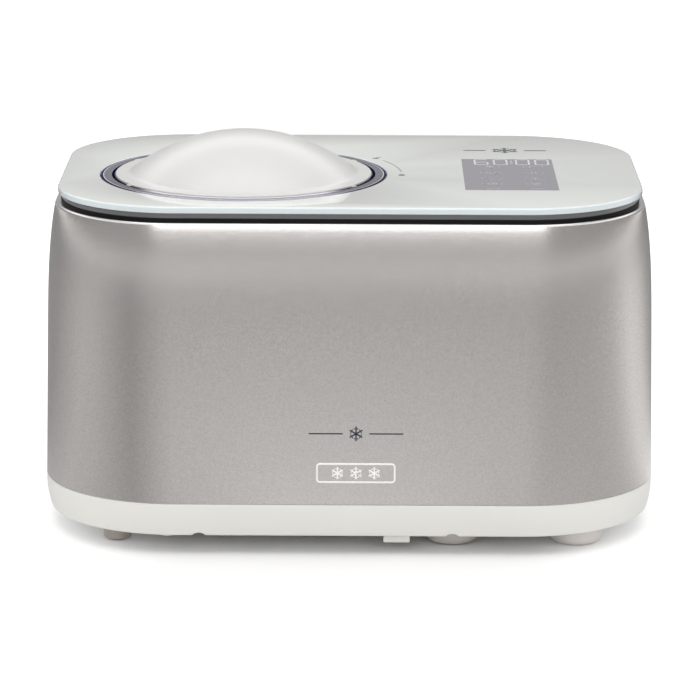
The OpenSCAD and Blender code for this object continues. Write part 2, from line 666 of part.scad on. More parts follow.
outer_casing();
base_tray();
small_feet();
large_feet();
foot_pads();
base_screws();
top_frame();
trim_band();
top_deck();
glass_top();
display_lens();
display_board();
lid_seat();
lid_switch();
switch_plunger();
front_badge();
rear_grille();
cord_gland();
lid_rim();
lid_skirt();
lid_dome();
lid_seal();
bowl();
paddle();
evaporator_pot();
evaporator_coil();
insulation_upper();
insulation_lower();
chamber_bracket();
gearbox_case();
gearbox_cover();
shaft_bushes();
shaft_seal();
drive_shaft();
output_gear();
idler_pin();
idler_gear();
motor_stator();
motor_coils();
motor_bracket();
motor_rotor();
motor_pinion();
carrier_plate();
carrier_grommets();
compressor_shell();
compressor_cover();
condenser_fins();
condenser_tube();
fan_frame();
fan_motor();
fan_rotor();
filter_drier();
suction_pipe();
discharge_pipe();
liquid_pipe();
power_board();
board_parts();
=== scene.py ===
"""Looks for a self-cooling ice cream maker: shells, glass, lid, marks and finishes round its frame."""

import math

import bmesh
import bpy
from mathutils import Matrix, Vector


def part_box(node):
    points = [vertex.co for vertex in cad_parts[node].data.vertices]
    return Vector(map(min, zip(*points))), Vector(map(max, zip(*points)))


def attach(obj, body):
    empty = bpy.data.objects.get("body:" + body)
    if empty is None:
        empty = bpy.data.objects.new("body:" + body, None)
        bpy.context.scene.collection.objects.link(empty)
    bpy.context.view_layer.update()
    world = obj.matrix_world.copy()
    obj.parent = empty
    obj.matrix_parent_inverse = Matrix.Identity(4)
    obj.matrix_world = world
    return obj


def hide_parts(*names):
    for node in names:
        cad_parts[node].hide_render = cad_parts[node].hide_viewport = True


bl_info = {
    "name": "Ice Cream Maker Looks",
    "version": (1, 0, 0),
    "blender": (4, 5, 0),
    "location": "View3D > Sidebar > Ice Cream Maker",
    "description": "Builds the shells, glass, lid, marks and finishes of a bench-top ice cream maker",
    "category": "Object",
}

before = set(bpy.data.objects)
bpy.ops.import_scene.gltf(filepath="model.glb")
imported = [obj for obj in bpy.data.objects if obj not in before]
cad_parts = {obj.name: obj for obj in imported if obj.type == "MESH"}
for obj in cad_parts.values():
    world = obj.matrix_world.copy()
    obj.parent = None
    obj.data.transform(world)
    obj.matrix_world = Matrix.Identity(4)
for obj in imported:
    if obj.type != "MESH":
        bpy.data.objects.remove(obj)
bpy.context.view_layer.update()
MM = 0.001


def middle(node):
    """Centre of a CAD node's box."""
    low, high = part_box(node)
    return (low + high) / 2


# Places taken from the frame. HALF_D keeps the body's depth to its width, CASING_TOP is the rolled edge's
# highest point, and FOOT_H is where the base's underside stands on the feet.
BASE_LOW, BASE_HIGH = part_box("base_tray")
CASING_LOW, CASING_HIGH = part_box("outer_casing")
GLASS_LOW, GLASS_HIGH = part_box("glass_top")
HALF_W = (BASE_HIGH.x - BASE_LOW.x) / 2
HALF_D = HALF_W * 150 / 212.5
SEAM_Z = CASING_LOW.z
CASING_TOP = CASING_HIGH.z + 0.4 * MM
GLASS_TOP = GLASS_HIGH.z
CHAMBER = middle("bowl")
FOOT_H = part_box("carrier_plate")[0].z - 14 * MM


def srgb(red, green, blue):
    """A colour given as screen values from 0 to 255, as the linear values that shaders use."""
    return tuple(
        c / 12.92 if c <= 0.04045 else ((c + 0.055) / 1.055) ** 2.4
        for c in (red / 255, green / 255, blue / 255)
    )


# ---- Sizes and colours a user may change ----


def length(name, description, default):
    """A size setting in metres."""
    return bpy.props.FloatProperty(name=name, description=description, default=default, unit="LENGTH")


def colour(name, description, default):
    """A colour setting."""
    return bpy.props.FloatVectorProperty(name=name, description=description, default=default, subtype="COLOR")


class BodySettings(bpy.types.PropertyGroup):
    """Shape and colours of the body."""

    corner: length("Corner radius", "Radius of the body's corners in plan", 0.094)
    draft: bpy.props.FloatProperty(
        name="Draft", description="How much the casing leans in for each unit of height", default=0.02
    )
    crown: length("Crown", "How far the casing curves in at its top", 0.0048)
    crown_start: length("Crown start", "Height where the casing starts to curve in", 0.137)
    crown_power: bpy.props.FloatProperty(
        name="Crown power", description="How late the crown's curve comes", default=3.3
    )
    roll: length("Top roll", "Radius of the casing's rolled top edge", 0.0021)
    sheet: length("Sheet", "Thickness of the casing's metal", 0.0012)
    tuck: length("Base tuck", "How far the base tucks under at its lower edge", 0.0034)
    metal: colour("Casing", "Colour of the metal casing", srgb(208, 204, 201))
    plastic: colour("Base", "Colour of the base", srgb(219, 218, 213))
    large_foot: colour("Large feet", "Colour of the large feet", srgb(206, 201, 196))
    small_foot: colour("Small feet", "Colour of the small feet", srgb(166, 158, 153))


class TopSettings(bpy.types.PropertyGroup):
    """Shape and colours of the glass top and the lid."""

    glass_inset: length("Glass inset", "How far the glass stands in", 0.0105)
    edge_round: length("Glass edge", "Radius of the glass's polished edge", 0.0011)
    opening: length("Lid opening", "Radius of the hole in the glass", 0.1004)
    rim: length("Lid rim", "Outer radius of the lid's clear rim", 0.0996)
    white: length("Lid centre", "Radius of the lid's white centre", 0.0897)
    cap: length("Cap radius", "Radius of the lid's curved cap", 0.080)
    glass: colour("Glass", "Colour of the glass from above", srgb(229, 231, 226))
    glass_edge: colour("Glass edge", "Colour of the glass's edge", srgb(204, 212, 214))
    # Painted highlight: the bevel colour is a lighter copy of the glass edge's colour.
    bevel: colour("Glass bevel highlight", "Colour of the glass's bevel", srgb(214, 219, 220))
    lid: colour("Lid", "Colour of the lid's centre", srgb(209, 208, 206))
    tint: colour("Rim tint", "Tint of the lid's clear rim", srgb(236, 234, 243))
    window: colour("Display", "Colour of the display window", srgb(125, 121, 131))
    ink: colour("Ink", "Colour of the printed marks", srgb(78, 78, 84))


class StageSettings(bpy.types.PropertyGroup):
    """Camera and light."""

    camera: bpy.props.FloatVectorProperty(
        name="Camera",
        description="Place of the camera",
        subtype="TRANSLATION",
        default=(0.01055, -2.5545, 0.7190),
    )
    pitch: bpy.props.FloatProperty(
        name="Pitch", description="How far the camera looks down", default=0.2345, unit="ROTATION"
    )
    turn: bpy.props.FloatProperty(
        name="Turn", description="How far the camera turns to the left", default=0.0041, unit="ROTATION"
    )
    roll: bpy.props.FloatProperty(
        name="Roll", description="How far the camera leans", default=0.0041, unit="ROTATION"
    )
    lens: bpy.props.FloatProperty(
        name="Lens", description="Focal length on a 36 mm sensor, in millimetres", default=188.95
    )


def body_set():
    """The body's settings."""
    return bpy.context.scene.ice_body


def top_set():
    """The top's settings."""
    return bpy.context.scene.ice_top


# ---- Shared shader effects ----

FLECKS_PER_DRIFT = 23.0


def add_node(tree, kind, settings=None, **inputs):
    """Adds a node, sets its options, and sets or links its inputs by name."""
    made = tree.nodes.new(kind)
    for key, value in (settings or {}).items():
        setattr(made, key, value)
    for key, value in inputs.items():
        socket = made.inputs[int(key[1:])] if key[0] == "i" and key[1:].isdigit() else made.inputs[key]
        if isinstance(value, bpy.types.NodeSocket):
            tree.links.new(value, socket)
        else:
            socket.default_value = value
    return made


def effect(name, inputs, outputs):
    """An empty node group with named inputs and outputs."""
    tree = bpy.data.node_groups.new(name, "ShaderNodeTree")
    for kind, label, value in inputs:
        tree.interface.new_socket(label, in_out="INPUT", socket_type=kind).default_value = value
    for kind, label in outputs:
        tree.interface.new_socket(label, in_out="OUTPUT", socket_type=kind)
    return tree, tree.nodes.new("NodeGroupInput"), tree.nodes.new("NodeGroupOutput")


def math_node(tree, operation, first, second=0.0, third=0.0):
    """A maths node's result."""
    made = add_node(tree, "ShaderNodeMath", {"operation": operation}, i0=first, i1=second, i2=third)
    return made.outputs[0]


def vector_node(tree, operation, **inputs):
    """A vector maths node."""
    return add_node(tree, "ShaderNodeVectorMath", {"operation": operation}, **inputs)


def object_place(tree):
    """Where a point is on its object."""
    return add_node(tree, "ShaderNodeTexCoord").outputs["Object"]


def noise_node(tree, place, **inputs):
    """Soft noise from 0 to 1 at a place."""
    return add_node(tree, "ShaderNodeTexNoise", Vector=place, **inputs).outputs["Fac"]


def shaded(tree, start, shade, contrast):
    """The group's colour, lighter or darker by a shade from 0 to 1, and the shade's swing about a half."""
    swing = math_node(tree, "SUBTRACT", shade, 0.5)
    reach = math_node(tree, "MULTIPLY", start.outputs[contrast], 2.0)
    gain = math_node(tree, "MULTIPLY_ADD", swing, reach, 1.0)
    scaled = vector_node(tree, "SCALE", i0=start.outputs["Colour"])
    tree.links.new(gain, scaled.inputs["Scale"])
    return scaled.outputs[0], swing


def tone_effect():
    """Slow drifts of tone and gloss over a surface, with fine flecks on top."""
    tree, start, end = effect(
        "Tone and sheen",
        [
            ("NodeSocketColor", "Colour", (0.8, 0.8, 0.8, 1)),
            ("NodeSocketFloat", "Tone", 0.04),
            ("NodeSocketFloat", "Scale", 20.0),
            ("NodeSocketFloat", "Roughness", 0.4),
            ("NodeSocketFloat", "Spread", 0.08),
        ],
        [("NodeSocketColor", "Colour"), ("NodeSocketFloat", "Roughness")],
    )
    place = object_place(tree)
    drift = noise_node(tree, place, Scale=start.outputs["Scale"], Detail=4.0)
    fleck_scale = math_node(tree, "MULTIPLY", start.outputs["Scale"], FLECKS_PER_DRIFT)
    fleck = noise_node(tree, place, Scale=fleck_scale, Detail=2.0)
    mixed = math_node(tree, "MULTIPLY_ADD", fleck, 0.4, math_node(tree, "MULTIPLY", drift, 0.6))
    paint, swing = shaded(tree, start, mixed, "Tone")
    gloss = math_node(tree, "MULTIPLY_ADD", swing, start.outputs["Spread"], start.outputs["Roughness"])
    tree.links.new(paint, end.inputs["Colour"])
    tree.links.new(gloss, end.inputs["Roughness"])
    return tree


def grain_effect():
    """Height of a fine moulded or blasted grain, in metres."""
    tree, start, end = effect(
        "Surface grain",
        [("NodeSocketFloat", "Scale", 900.0), ("NodeSocketFloat", "Depth", 0.00002)],
        [("NodeSocketFloat", "Height")],
    )
    place = object_place(tree)
    noise = noise_node(tree, place, Scale=start.outputs["Scale"], Detail=3.0, Roughness=0.6)
    cells = add_node(
        tree,
        "ShaderNodeTexVoronoi",
        {"feature": "SMOOTH_F1"},
        Vector=place,
        Scale=math_node(tree, "MULTIPLY", start.outputs["Scale"], 0.7),
    ).outputs["Distance"]
    both = math_node(tree, "ADD", noise, cells)
    tree.links.new(math_node(tree, "MULTIPLY", both, start.outputs["Depth"]), end.inputs["Height"])
    return tree


def flake_effect():
    """Tiny flakes that each catch the light a little differently."""
    tree, start, end = effect(
        "Metal flake",
        [
            ("NodeSocketColor", "Colour", (0.6, 0.6, 0.6, 1)),
            ("NodeSocketFloat", "Scale", 1400.0),
            ("NodeSocketFloat", "Contrast", 0.1),
        ],
        [("NodeSocketColor", "Colour"), ("NodeSocketFloat", "Height")],
    )
    place = object_place(tree)
    cells = add_node(tree, "ShaderNodeTexVoronoi", Vector=place, Scale=start.outputs["Scale"])
    shade = add_node(tree, "ShaderNodeSeparateColor", Color=cells.outputs["Color"]).outputs[0]
    tree.links.new(shaded(tree, start, shade, "Contrast")[0], end.inputs["Colour"])
    tree.links.new(shade, end.inputs["Height"])
    return tree


def brush_effect():
    """Long fine lines left by turning, drawing or brushing."""
    tree, start, end = effect(
        "Brush lines",
        [
            ("NodeSocketColor", "Colour", (0.6, 0.6, 0.6, 1)),
            ("NodeSocketVector", "Stretch", (1.0, 1.0, 1.0)),
            ("NodeSocketFloat", "Contrast", 0.1),
        ],
        [("NodeSocketColor", "Colour"), ("NodeSocketFloat", "Height")],
    )
    place = object_place(tree)
    drawn = vector_node(tree, "MULTIPLY", i0=place, i1=start.outputs["Stretch"])
    lines = noise_node(tree, drawn.outputs[0], Scale=1.0, Detail=5.0, Roughness=0.65)
    tree.links.new(shaded(tree, start, lines, "Contrast")[0], end.inputs["Colour"])
    tree.links.new(lines, end.inputs["Height"])
    return tree


def side_effect():
    """Painted shade and reflection: the colour turns to a darker side colour towards the left and right sides
    of a ring about its centre, where the clear plastic reflects dark surroundings and a shaded gap.
    """
    tree, start, end = effect(
        "Side shade",
        [
            ("NodeSocketColor", "Colour", (0.8, 0.8, 0.8, 1)),
            ("NodeSocketColor", "Shaded side colour", (0.1, 0.1, 0.3, 1)),
            ("NodeSocketVector", "Centre", (0.0, 0.0, 0.0)),
            ("NodeSocketFloat", "Start", 0.62),
            ("NodeSocketFloat", "End", 0.78),
        ],
        [("NodeSocketColor", "Colour")],
    )
    place = object_place(tree)
    away = vector_node(tree, "SUBTRACT", i0=place, i1=start.outputs["Centre"])
    flat = vector_node(tree, "MULTIPLY", i0=away.outputs[0], i1=(1, 1, 0))
    aim = vector_node(tree, "NORMALIZE", i0=flat.outputs[0])
    sideways = add_node(tree, "ShaderNodeSeparateXYZ", Vector=aim.outputs[0]).outputs["X"]
    across = math_node(tree, "ABSOLUTE", sideways)
    share = add_node(tree, "ShaderNodeMapRange", {"interpolation_type": "SMOOTHSTEP"}, Value=across)
    tree.links.new(start.outputs["Start"], share.inputs["From Min"])
    tree.links.new(start.outputs["End"], share.inputs["From Max"])
    mixed = add_node(
        tree,
        "ShaderNodeMix",
        {"data_type": "RGBA"},
        Factor=share.outputs[0],
        i6=start.outputs["Colour"],
        i7=start.outputs["Shaded side colour"],
    )
    tree.links.new(mixed.outputs[2], end.inputs["Colour"])
    return tree


EFFECTS = {
    "Side shade": side_effect,
    "Tone and sheen": tone_effect,
    "Surface grain": grain_effect,
    "Metal flake": flake_effect,
    "Brush lines": brush_effect,
}


def place_effect(tree, name, **values):
    """Puts a shared effect in a material, with this material's own values."""
    group = bpy.data.node_groups.get(name) or EFFECTS[name]()
    made = tree.nodes.new("ShaderNodeGroup")
    made.node_tree = group
    for key, value in values.items():
        if isinstance(value, bpy.types.NodeSocket):
            tree.links.new(value, made.inputs[key])
        else:
            made.inputs[key].default_value = value
    return made


# ---- Materials ----


def finish(
    name,
    paint_colour,
    roughness=0.4,
    metallic=0.0,
    tone=0.04,
    tone_scale=20.0,
    spread=0.08,
    grain=(900.0, 0.00001),
    flake=None,
    brush=None,
    side=None,
    **shader_values,
):
    """A finish with drifting tone, moulded grain and, for metals, flakes or brush lines."""
    known = bpy.data.materials.get(name)
    if known:
        return known
    made = bpy.data.materials.new(name)
    made.use_nodes = True
    tree = made.node_tree
    shader = tree.nodes["Principled BSDF"]
    base = place_effect(
        tree,
        "Tone and sheen",
        Colour=(*paint_colour, 1),
        Tone=tone,
        Scale=tone_scale,
        Roughness=roughness,
        Spread=spread,
    )
    tree.links.new(base.outputs["Roughness"], shader.inputs["Roughness"])
    paint = base.outputs["Colour"]
    # Painted shade and reflection: towards a ring's left and right sides the paint turns to the side colour.
    if side:
        ends = {"Shaded side colour": (*side, 1), "Centre": CHAMBER}
        shade = place_effect(tree, "Side shade", Colour=paint, **ends)
        paint = shade.outputs["Colour"]
    height = place_effect(tree, "Surface grain", Scale=grain[0], Depth=grain[1]).outputs["Height"]
    if flake:
        flakes = place_effect(tree, "Metal flake", Colour=paint, Scale=flake[0], Contrast=flake[1])
        paint = flakes.outputs["Colour"]
        height = math_node(tree, "MULTIPLY_ADD", flakes.outputs["Height"], flake[2], height)
    if brush:
        lines = place_effect(tree, "Brush lines", Colour=paint, Stretch=brush[0], Contrast=brush[1])
        paint = lines.outputs["Colour"]
        height = math_node(tree, "MULTIPLY_ADD", lines.outputs["Height"], brush[2], height)
    tree.links.new(paint, shader.inputs["Base Color"])
    relief = add_node(tree, "ShaderNodeBump", Strength=0.5, Distance=1.0, Height=height)
    tree.links.new(relief.outputs["Normal"], shader.inputs["Normal"])
    shader.inputs["Metallic"].default_value = metallic
    for key, value in shader_values.items():
        shader.inputs[key.replace("_", " ")].default_value = value
    return made


def casing_metal():
    """Satin blasted metal with a fine sparkle."""
    return finish(
        "satin_blasted_metal",
        body_set().metal,
        roughness=0.22,
        metallic=1.0,
        tone=0.006,
        tone_scale=9.0,
        spread=0.012,
        grain=(1500.0, 0.000007),
        flake=(1300.0, 0.06, 0.000009),
    )


def moulded(name, paint, roughness=0.45):
    """Moulded plastic with a fine grain."""
    return finish(name, paint, roughness, tone=0.02, grain=(1100.0, 0.000012))


def rubber(name, paint):
    """Soft rubber with a dusty bloom."""
    return finish(name, paint, 0.75, tone=0.12, tone_scale=60.0, spread=0.15, grain=(1600.0, 0.00003))


def brushed(name, paint, stretch=(60.0, 60.0, 2500.0), roughness=0.3, contrast=0.08):
    """Metal with fine lines across it."""
    lines = (stretch, contrast, 0.000003)
    return finish(name, paint, roughness, metallic=1.0, tone=0.03, grain=(2500.0, 0.000002), brush=lines)


def glass_face():
    """Glass printed from behind, with a clear polished face."""
    return finish(
        "back_printed_glass",
        top_set().glass,
        roughness=0.22,
        tone=0.012,
        tone_scale=6.0,
        spread=0.08,
        grain=(300.0, 0.0000008),
        Coat_Weight=1.0,
        Coat_Roughness=0.03,
        IOR=1.5,
    )


def glass_side(name, paint):
    """The pale green polished edge of the glass."""
    return finish(
        name,
        paint,
        roughness=0.12,
        tone=0.03,
        tone_scale=30.0,
        spread=0.05,
        grain=(500.0, 0.000001),
        Coat_Weight=1.0,
        Coat_Roughness=0.04,
        Subsurface_Weight=0.25,
        Subsurface_Radius=(0.004, 0.005, 0.005),
        Subsurface_Scale=1.0,
    )


def rim_clear():
    """Clear plastic with a faint violet tint, darkened towards its sides by painted shade and reflection."""
    return finish(
        "clear_tinted_plastic_shaded_sides",
        top_set().tint,
        roughness=0.05,
        tone=0.02,
        spread=0.04,
        grain=(400.0, 0.000002),
        # Painted shade and reflection: the darker colour used at the ring's sides.
        side=srgb(172, 170, 181),
        Transmission_Weight=0.85,
        IOR=1.45,
    )


def painted_rim_line(name, paint, side):
    """A painted line on the clear rim: painted shade for its dark edges and a painted highlight for its light
    line, standing in for how light shows along the rim's clear walls, with the side colour painted towards
    the ring's sides.
    """
    return finish(name, paint, 0.1, tone=0.1, tone_scale=70.0, side=side, Specular_IOR_Level=0.0)


def lid_white():
    """Smooth white plastic."""
    return finish(
        "smooth_white_plastic",
        top_set().lid,
        roughness=0.24,
        tone=0.008,
        tone_scale=12.0,
        spread=0.05,
        grain=(700.0, 0.000003),
        Subsurface_Weight=0.1,
        Subsurface_Radius=(0.004, 0.004, 0.004),
        Subsurface_Scale=1.0,
    )


def copper():
    """Drawn copper tube with darker patches."""
    paint = srgb(196, 118, 84)
    return finish("drawn_copper", paint, 0.34, metallic=1.0, tone=0.18, tone_scale=45.0, spread=0.2)


def ink(name, paint):
    """Printed ink."""
    return finish(name, paint, 0.5, tone=0.05, tone_scale=150.0, grain=(3000.0, 0.000002))


# ---- Mesh helpers ----

CORNERS = ((1, 1), (-1, 1), (-1, -1), (1, -1))
LID_STEPS = 192


def mesh_object(name, mesh_maker, merge=False, outward=True):
    """A new mesh object in the scene, shaped by a bmesh function."""
    shape = bmesh.new()
    mesh_maker(shape)
    if merge:
        bmesh.ops.remove_doubles(shape, verts=shape.verts, dist=1e-7)
    if outward:
        bmesh.ops.recalc_face_normals(shape, faces=shape.faces)
    mesh = bpy.data.meshes.new(name)
    shape.to_mesh(mesh)
    shape.free()
    made = bpy.data.objects.new(name, mesh)
    bpy.context.scene.collection.objects.link(made)
    return made


def new_piece(name, mesh_maker, materials, body, replaces=(), angle=35):
    """Makes a piece from a bmesh function, gives it its materials, smooths it, ties it to its body and hides
    the CAD nodes it replaces.
    """
    piece = mesh_object(name, mesh_maker, merge=True)
    for material in materials:
        piece.data.materials.append(material)
    smooth(piece.data, angle)
    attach(piece, body)
    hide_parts(*replaces)
    return piece


def smooth(mesh, angle=35):
    """Smooth shading, with edges sharper than the angle kept crisp."""
    mesh.polygons.foreach_set("use_smooth", [True] * len(mesh.polygons))
    mesh.set_sharp_from_angle(angle=math.radians(angle))
    mesh.update()


def plan_ring(inset, z, steps=26):
    """Points round the body's plan outline at a height, set in by a distance."""
    corner = body_set().corner
    ring = []
    for quarter, (sx, sy) in enumerate(CORNERS):
        centre = (sx * (HALF_W - corner), sy * (HALF_D - corner))
        for step in range(steps + 1):
            a = math.radians(90 * (quarter + step / steps))
            r = corner - inset
            ring.append(Vector((centre[0] + r * math.cos(a), centre[1] + r * math.sin(a), z)))
    return ring


def disc_ring(radius, z, centre, segments):
    """Points round a circle at a height."""
    turns = [2 * math.pi * i / segments for i in range(segments)]
    return [Vector((centre.x + radius * math.cos(a), centre.y + radius * math.sin(a), z)) for a in turns]


def skin(shape, rings, closed=True, index=0):
    """Joins rings of points with faces, and joins the last ring to the first if closed."""
    rows = [[shape.verts.new(p) for p in ring] for ring in rings]
    pairs = list(zip(rows, rows[1:])) + ([(rows[-1], rows[0])] if closed else [])
    for low, high in pairs:
        for i in range(len(low)):
            j = (i + 1) % len(low)
            face = shape.faces.new((low[i], low[j], high[j], high[i]))
            face.material_index = index
    return rows


def swept(shape, profile, closed=True, index=0):
    """Sweeps (inset, height) points round the body's plan."""
    return skin(shape, [plan_ring(inset, z) for inset, z in profile], closed, index)


def turned(shape, profile, centre, segments=160, closed=True, index=0):
    """Turns (radius, height) points round a vertical axis. A radius of 0 closes at a point."""
    rows = skin(shape, [disc_ring(max(r, 1e-6), z, centre, segments) for r, z in profile], closed, index)
    for row, (r, z) in zip(rows, profile):
        if r == 0:
            for vert in row:
                vert.co = Vector((centre.x, centre.y, z))
    return rows


def fill(shape, *rows, index=0):
    """Fills the flat area between closed rows of vertices."""
    edges = []
    for row in rows:
        for i, vert in enumerate(row):
            pair = (vert, row[(i + 1) % len(row)])
            edges.append(shape.edges.get(pair) or shape.edges.new(pair))
    made = bmesh.ops.triangle_fill(shape, use_beauty=True, use_dissolve=False, edges=edges)
    for item in made["geom"]:
        if isinstance(item, bmesh.types.BMFace):
            item.material_index = index


def rounded(inset, z, radius, start, stop, steps=6):
    """Arc points for a profile: (across, height) about a centre, from one angle to another in degrees."""
    angles = [start + (stop - start) * i / steps for i in range(steps + 1)]
    return [
        (inset + radius * math.cos(math.radians(a)), z + radius * math.sin(math.radians(a))) for a in angles
    ]


def bar(shape, low, high):
    """A block between two corners."""
    made = bmesh.ops.create_cube(shape, size=1.0)
    size = high - low
    for vert in made["verts"]:
        vert.co = Vector(low[i] + (vert.co[i] + 0.5) * size[i] for i in range(3))
    return made["verts"]


def rod(shape, start, end, radius):
    """A straight round rod between two points."""
    line = end - start
    turn = line.to_track_quat("Z", "Y").to_matrix().to_4x4()
    matrix = Matrix.Translation((start + end) / 2) @ turn
    bmesh.ops.create_cone(
        shape, cap_ends=True, segments=32, radius1=radius, radius2=radius, depth=line.length, matrix=matrix
    )


def carve(piece, cutter_maker):
    """Cuts a shape out of a piece."""
    cutter = mesh_object("cutter", cutter_maker)
    step = piece.modifiers.new("carve", "BOOLEAN")
    step.operation = "DIFFERENCE"
    step.solver = "EXACT"
    step.object = cutter
    bpy.context.view_layer.update()
    result = bpy.data.meshes.new_from_object(piece.evaluated_get(bpy.context.evaluated_depsgraph_get()))
    piece.modifiers.clear()
    old = piece.data
    piece.data = result
    bpy.data.meshes.remove(old)
    bpy.data.objects.remove(cutter)
    smooth(piece.data)


def casing_inset(z):
    """How far the casing stands in from the widest outline at a height."""
    s = body_set()
    rise = max(0.0, (z - s.crown_start) / (CASING_TOP - s.crown_start))
    return s.draft * (z - SEAM_Z) + s.crown * rise**s.crown_power


# ---- Flat printed marks ----


def stroke(shape, points, width, place, height, closed=False):
    """A flat printed line of a given width along 2-D points, mitred at its corners."""
    count = len(points)
    left, right = [], []
    for i in range(count):
        here = Vector(points[i])
        before = Vector(points[i - 1]) if i or closed else None
        after = Vector(points[(i + 1) % count]) if i < count - 1 or closed else None
        a = (here - before).normalized() if before is not None else (after - here).normalized()
        b = (after - here).normalized() if after is not None else a
        across = Vector((-(a + b).y, (a + b).x)).normalized()
        reach = width / 2 / max(0.4, across.dot(Vector((-a.y, a.x))))
        left.append(here + across * reach)
        right.append(here - across * reach)
    for i in range(count if closed else count - 1):
        j = (i + 1) % count
        plate(shape, [left[i], left[j], right[j], right[i]], place, height)


def plate(shape, outline, place, height):
    """A thin flat plate with a 2-D outline."""
    low = [shape.verts.new(place(p[0], p[1], -0.00004)) for p in outline]
    high = [shape.verts.new(place(p[0], p[1], height)) for p in outline]
    shape.faces.new(high)
    shape.faces.new(low[::-1])
    for i in range(len(outline)):
        j = (i + 1) % len(outline)
        shape.faces.new((low[i], low[j], high[j], high[i]))


def arc(cx, cy, radius, start, stop, steps=24):
    """Points along a circular arc, angles in degrees."""
    angles = [math.radians(start + (stop - start) * i / steps) for i in range(steps + 1)]
    return [(cx + radius * math.cos(a), cy + radius * math.sin(a)) for a in angles]


def box_outline(cx, cy, half_x, half_y, radius, steps=5):
    """Outline of a rounded rectangle."""
    points = []
    for quarter, (sx, sy) in enumerate(CORNERS):
        x, y = cx + sx * (half_x - radius), cy + sy * (half_y - radius)
        points += arc(x, y, radius, 90 * quarter, 90 * quarter + 90, steps)
    return points


def snowflake(shape, cx, cy, radius, width, place, height):
    """A plain six-armed snowflake round a small hub."""
    hub = width / 2 / math.sin(math.radians(30))
    centre = Vector((cx, cy))
    plate(shape, arc(cx, cy, hub, 0, 300, 5), place, height)
    for k in range(6):
        a = math.radians(60 * k + 30)
        arm = Vector((math.cos(a), math.sin(a)))
        foot = centre + arm * hub * math.cos(math.radians(30))
        stroke(shape, [foot, centre + arm * radius], width, place, height)
        for side in (-1, 1):
            b = a + side * math.radians(52)
            branch = Vector((math.cos(b), math.sin(b)))
            root = centre + arm * radius * 0.52 + branch * width
            tip = root + branch * max(0.0002, radius * 0.36 - width)
            stroke(shape, [root, tip], width * 0.85, place, height)


def on_glass(x, y, height):
    """A point on the glass, raised by a height."""
    return Vector((x, y, GLASS_TOP + height))


def on_front(x, z, height):
    """A point on the casing's front, raised by a height."""
    return Vector((x, -(HALF_D - casing_inset(z)) - height, z))


# ---- Body pieces ----


def build_casing():
    """The metal casing, rolled over at its top."""
    s = body_set()
    lean = math.atan(s.draft + s.crown * s.crown_power / (CASING_TOP - s.crown_start))
    wall_top = CASING_TOP - s.roll * (1 - math.sin(lean))
    heights = [SEAM_Z + 0.0006 + (wall_top - SEAM_Z - 0.0006) * i / 44 for i in range(45)]
    outer = [(casing_inset(SEAM_Z) + 0.0006, SEAM_Z)] + [(casing_inset(z), z) for z in heights]
    centre = casing_inset(wall_top) + s.roll * math.cos(lean)
    roll_z = CASING_TOP - s.roll
    outer += rounded(centre, roll_z, s.roll, 180 - math.degrees(lean), 90, 12)[1:]
    flange = centre + 0.005
    outer += [(flange - 0.0003, CASING_TOP), (flange, CASING_TOP - 0.0003)]
    inner = [(flange, CASING_TOP - s.sheet)]
    inner += rounded(centre, roll_z, s.roll - s.sheet, 90, 180 - math.degrees(lean), 6)
    inner += [(casing_inset(z) + s.sheet, z) for z in heights[::-4]] + [(s.sheet, SEAM_Z)]
    metal = [casing_metal()]
    piece = new_piece(
        "casing_shell", lambda b: swept(b, outer + inner), metal, "housing", ["outer_casing"]
    )
    low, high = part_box("rear_grille")
    gap = 0.3 * MM
    start = Vector((low.x - gap, HALF_D - 0.012, low.z - gap))
    carve(piece, lambda b: bar(b, start, Vector((high.x + gap, 1, high.z + gap))))


def base_inset(z):
    """How far the base's wall stands in at a height."""
    return body_set().tuck * ((SEAM_Z - z) / (SEAM_Z - FOOT_H)) ** 2.6


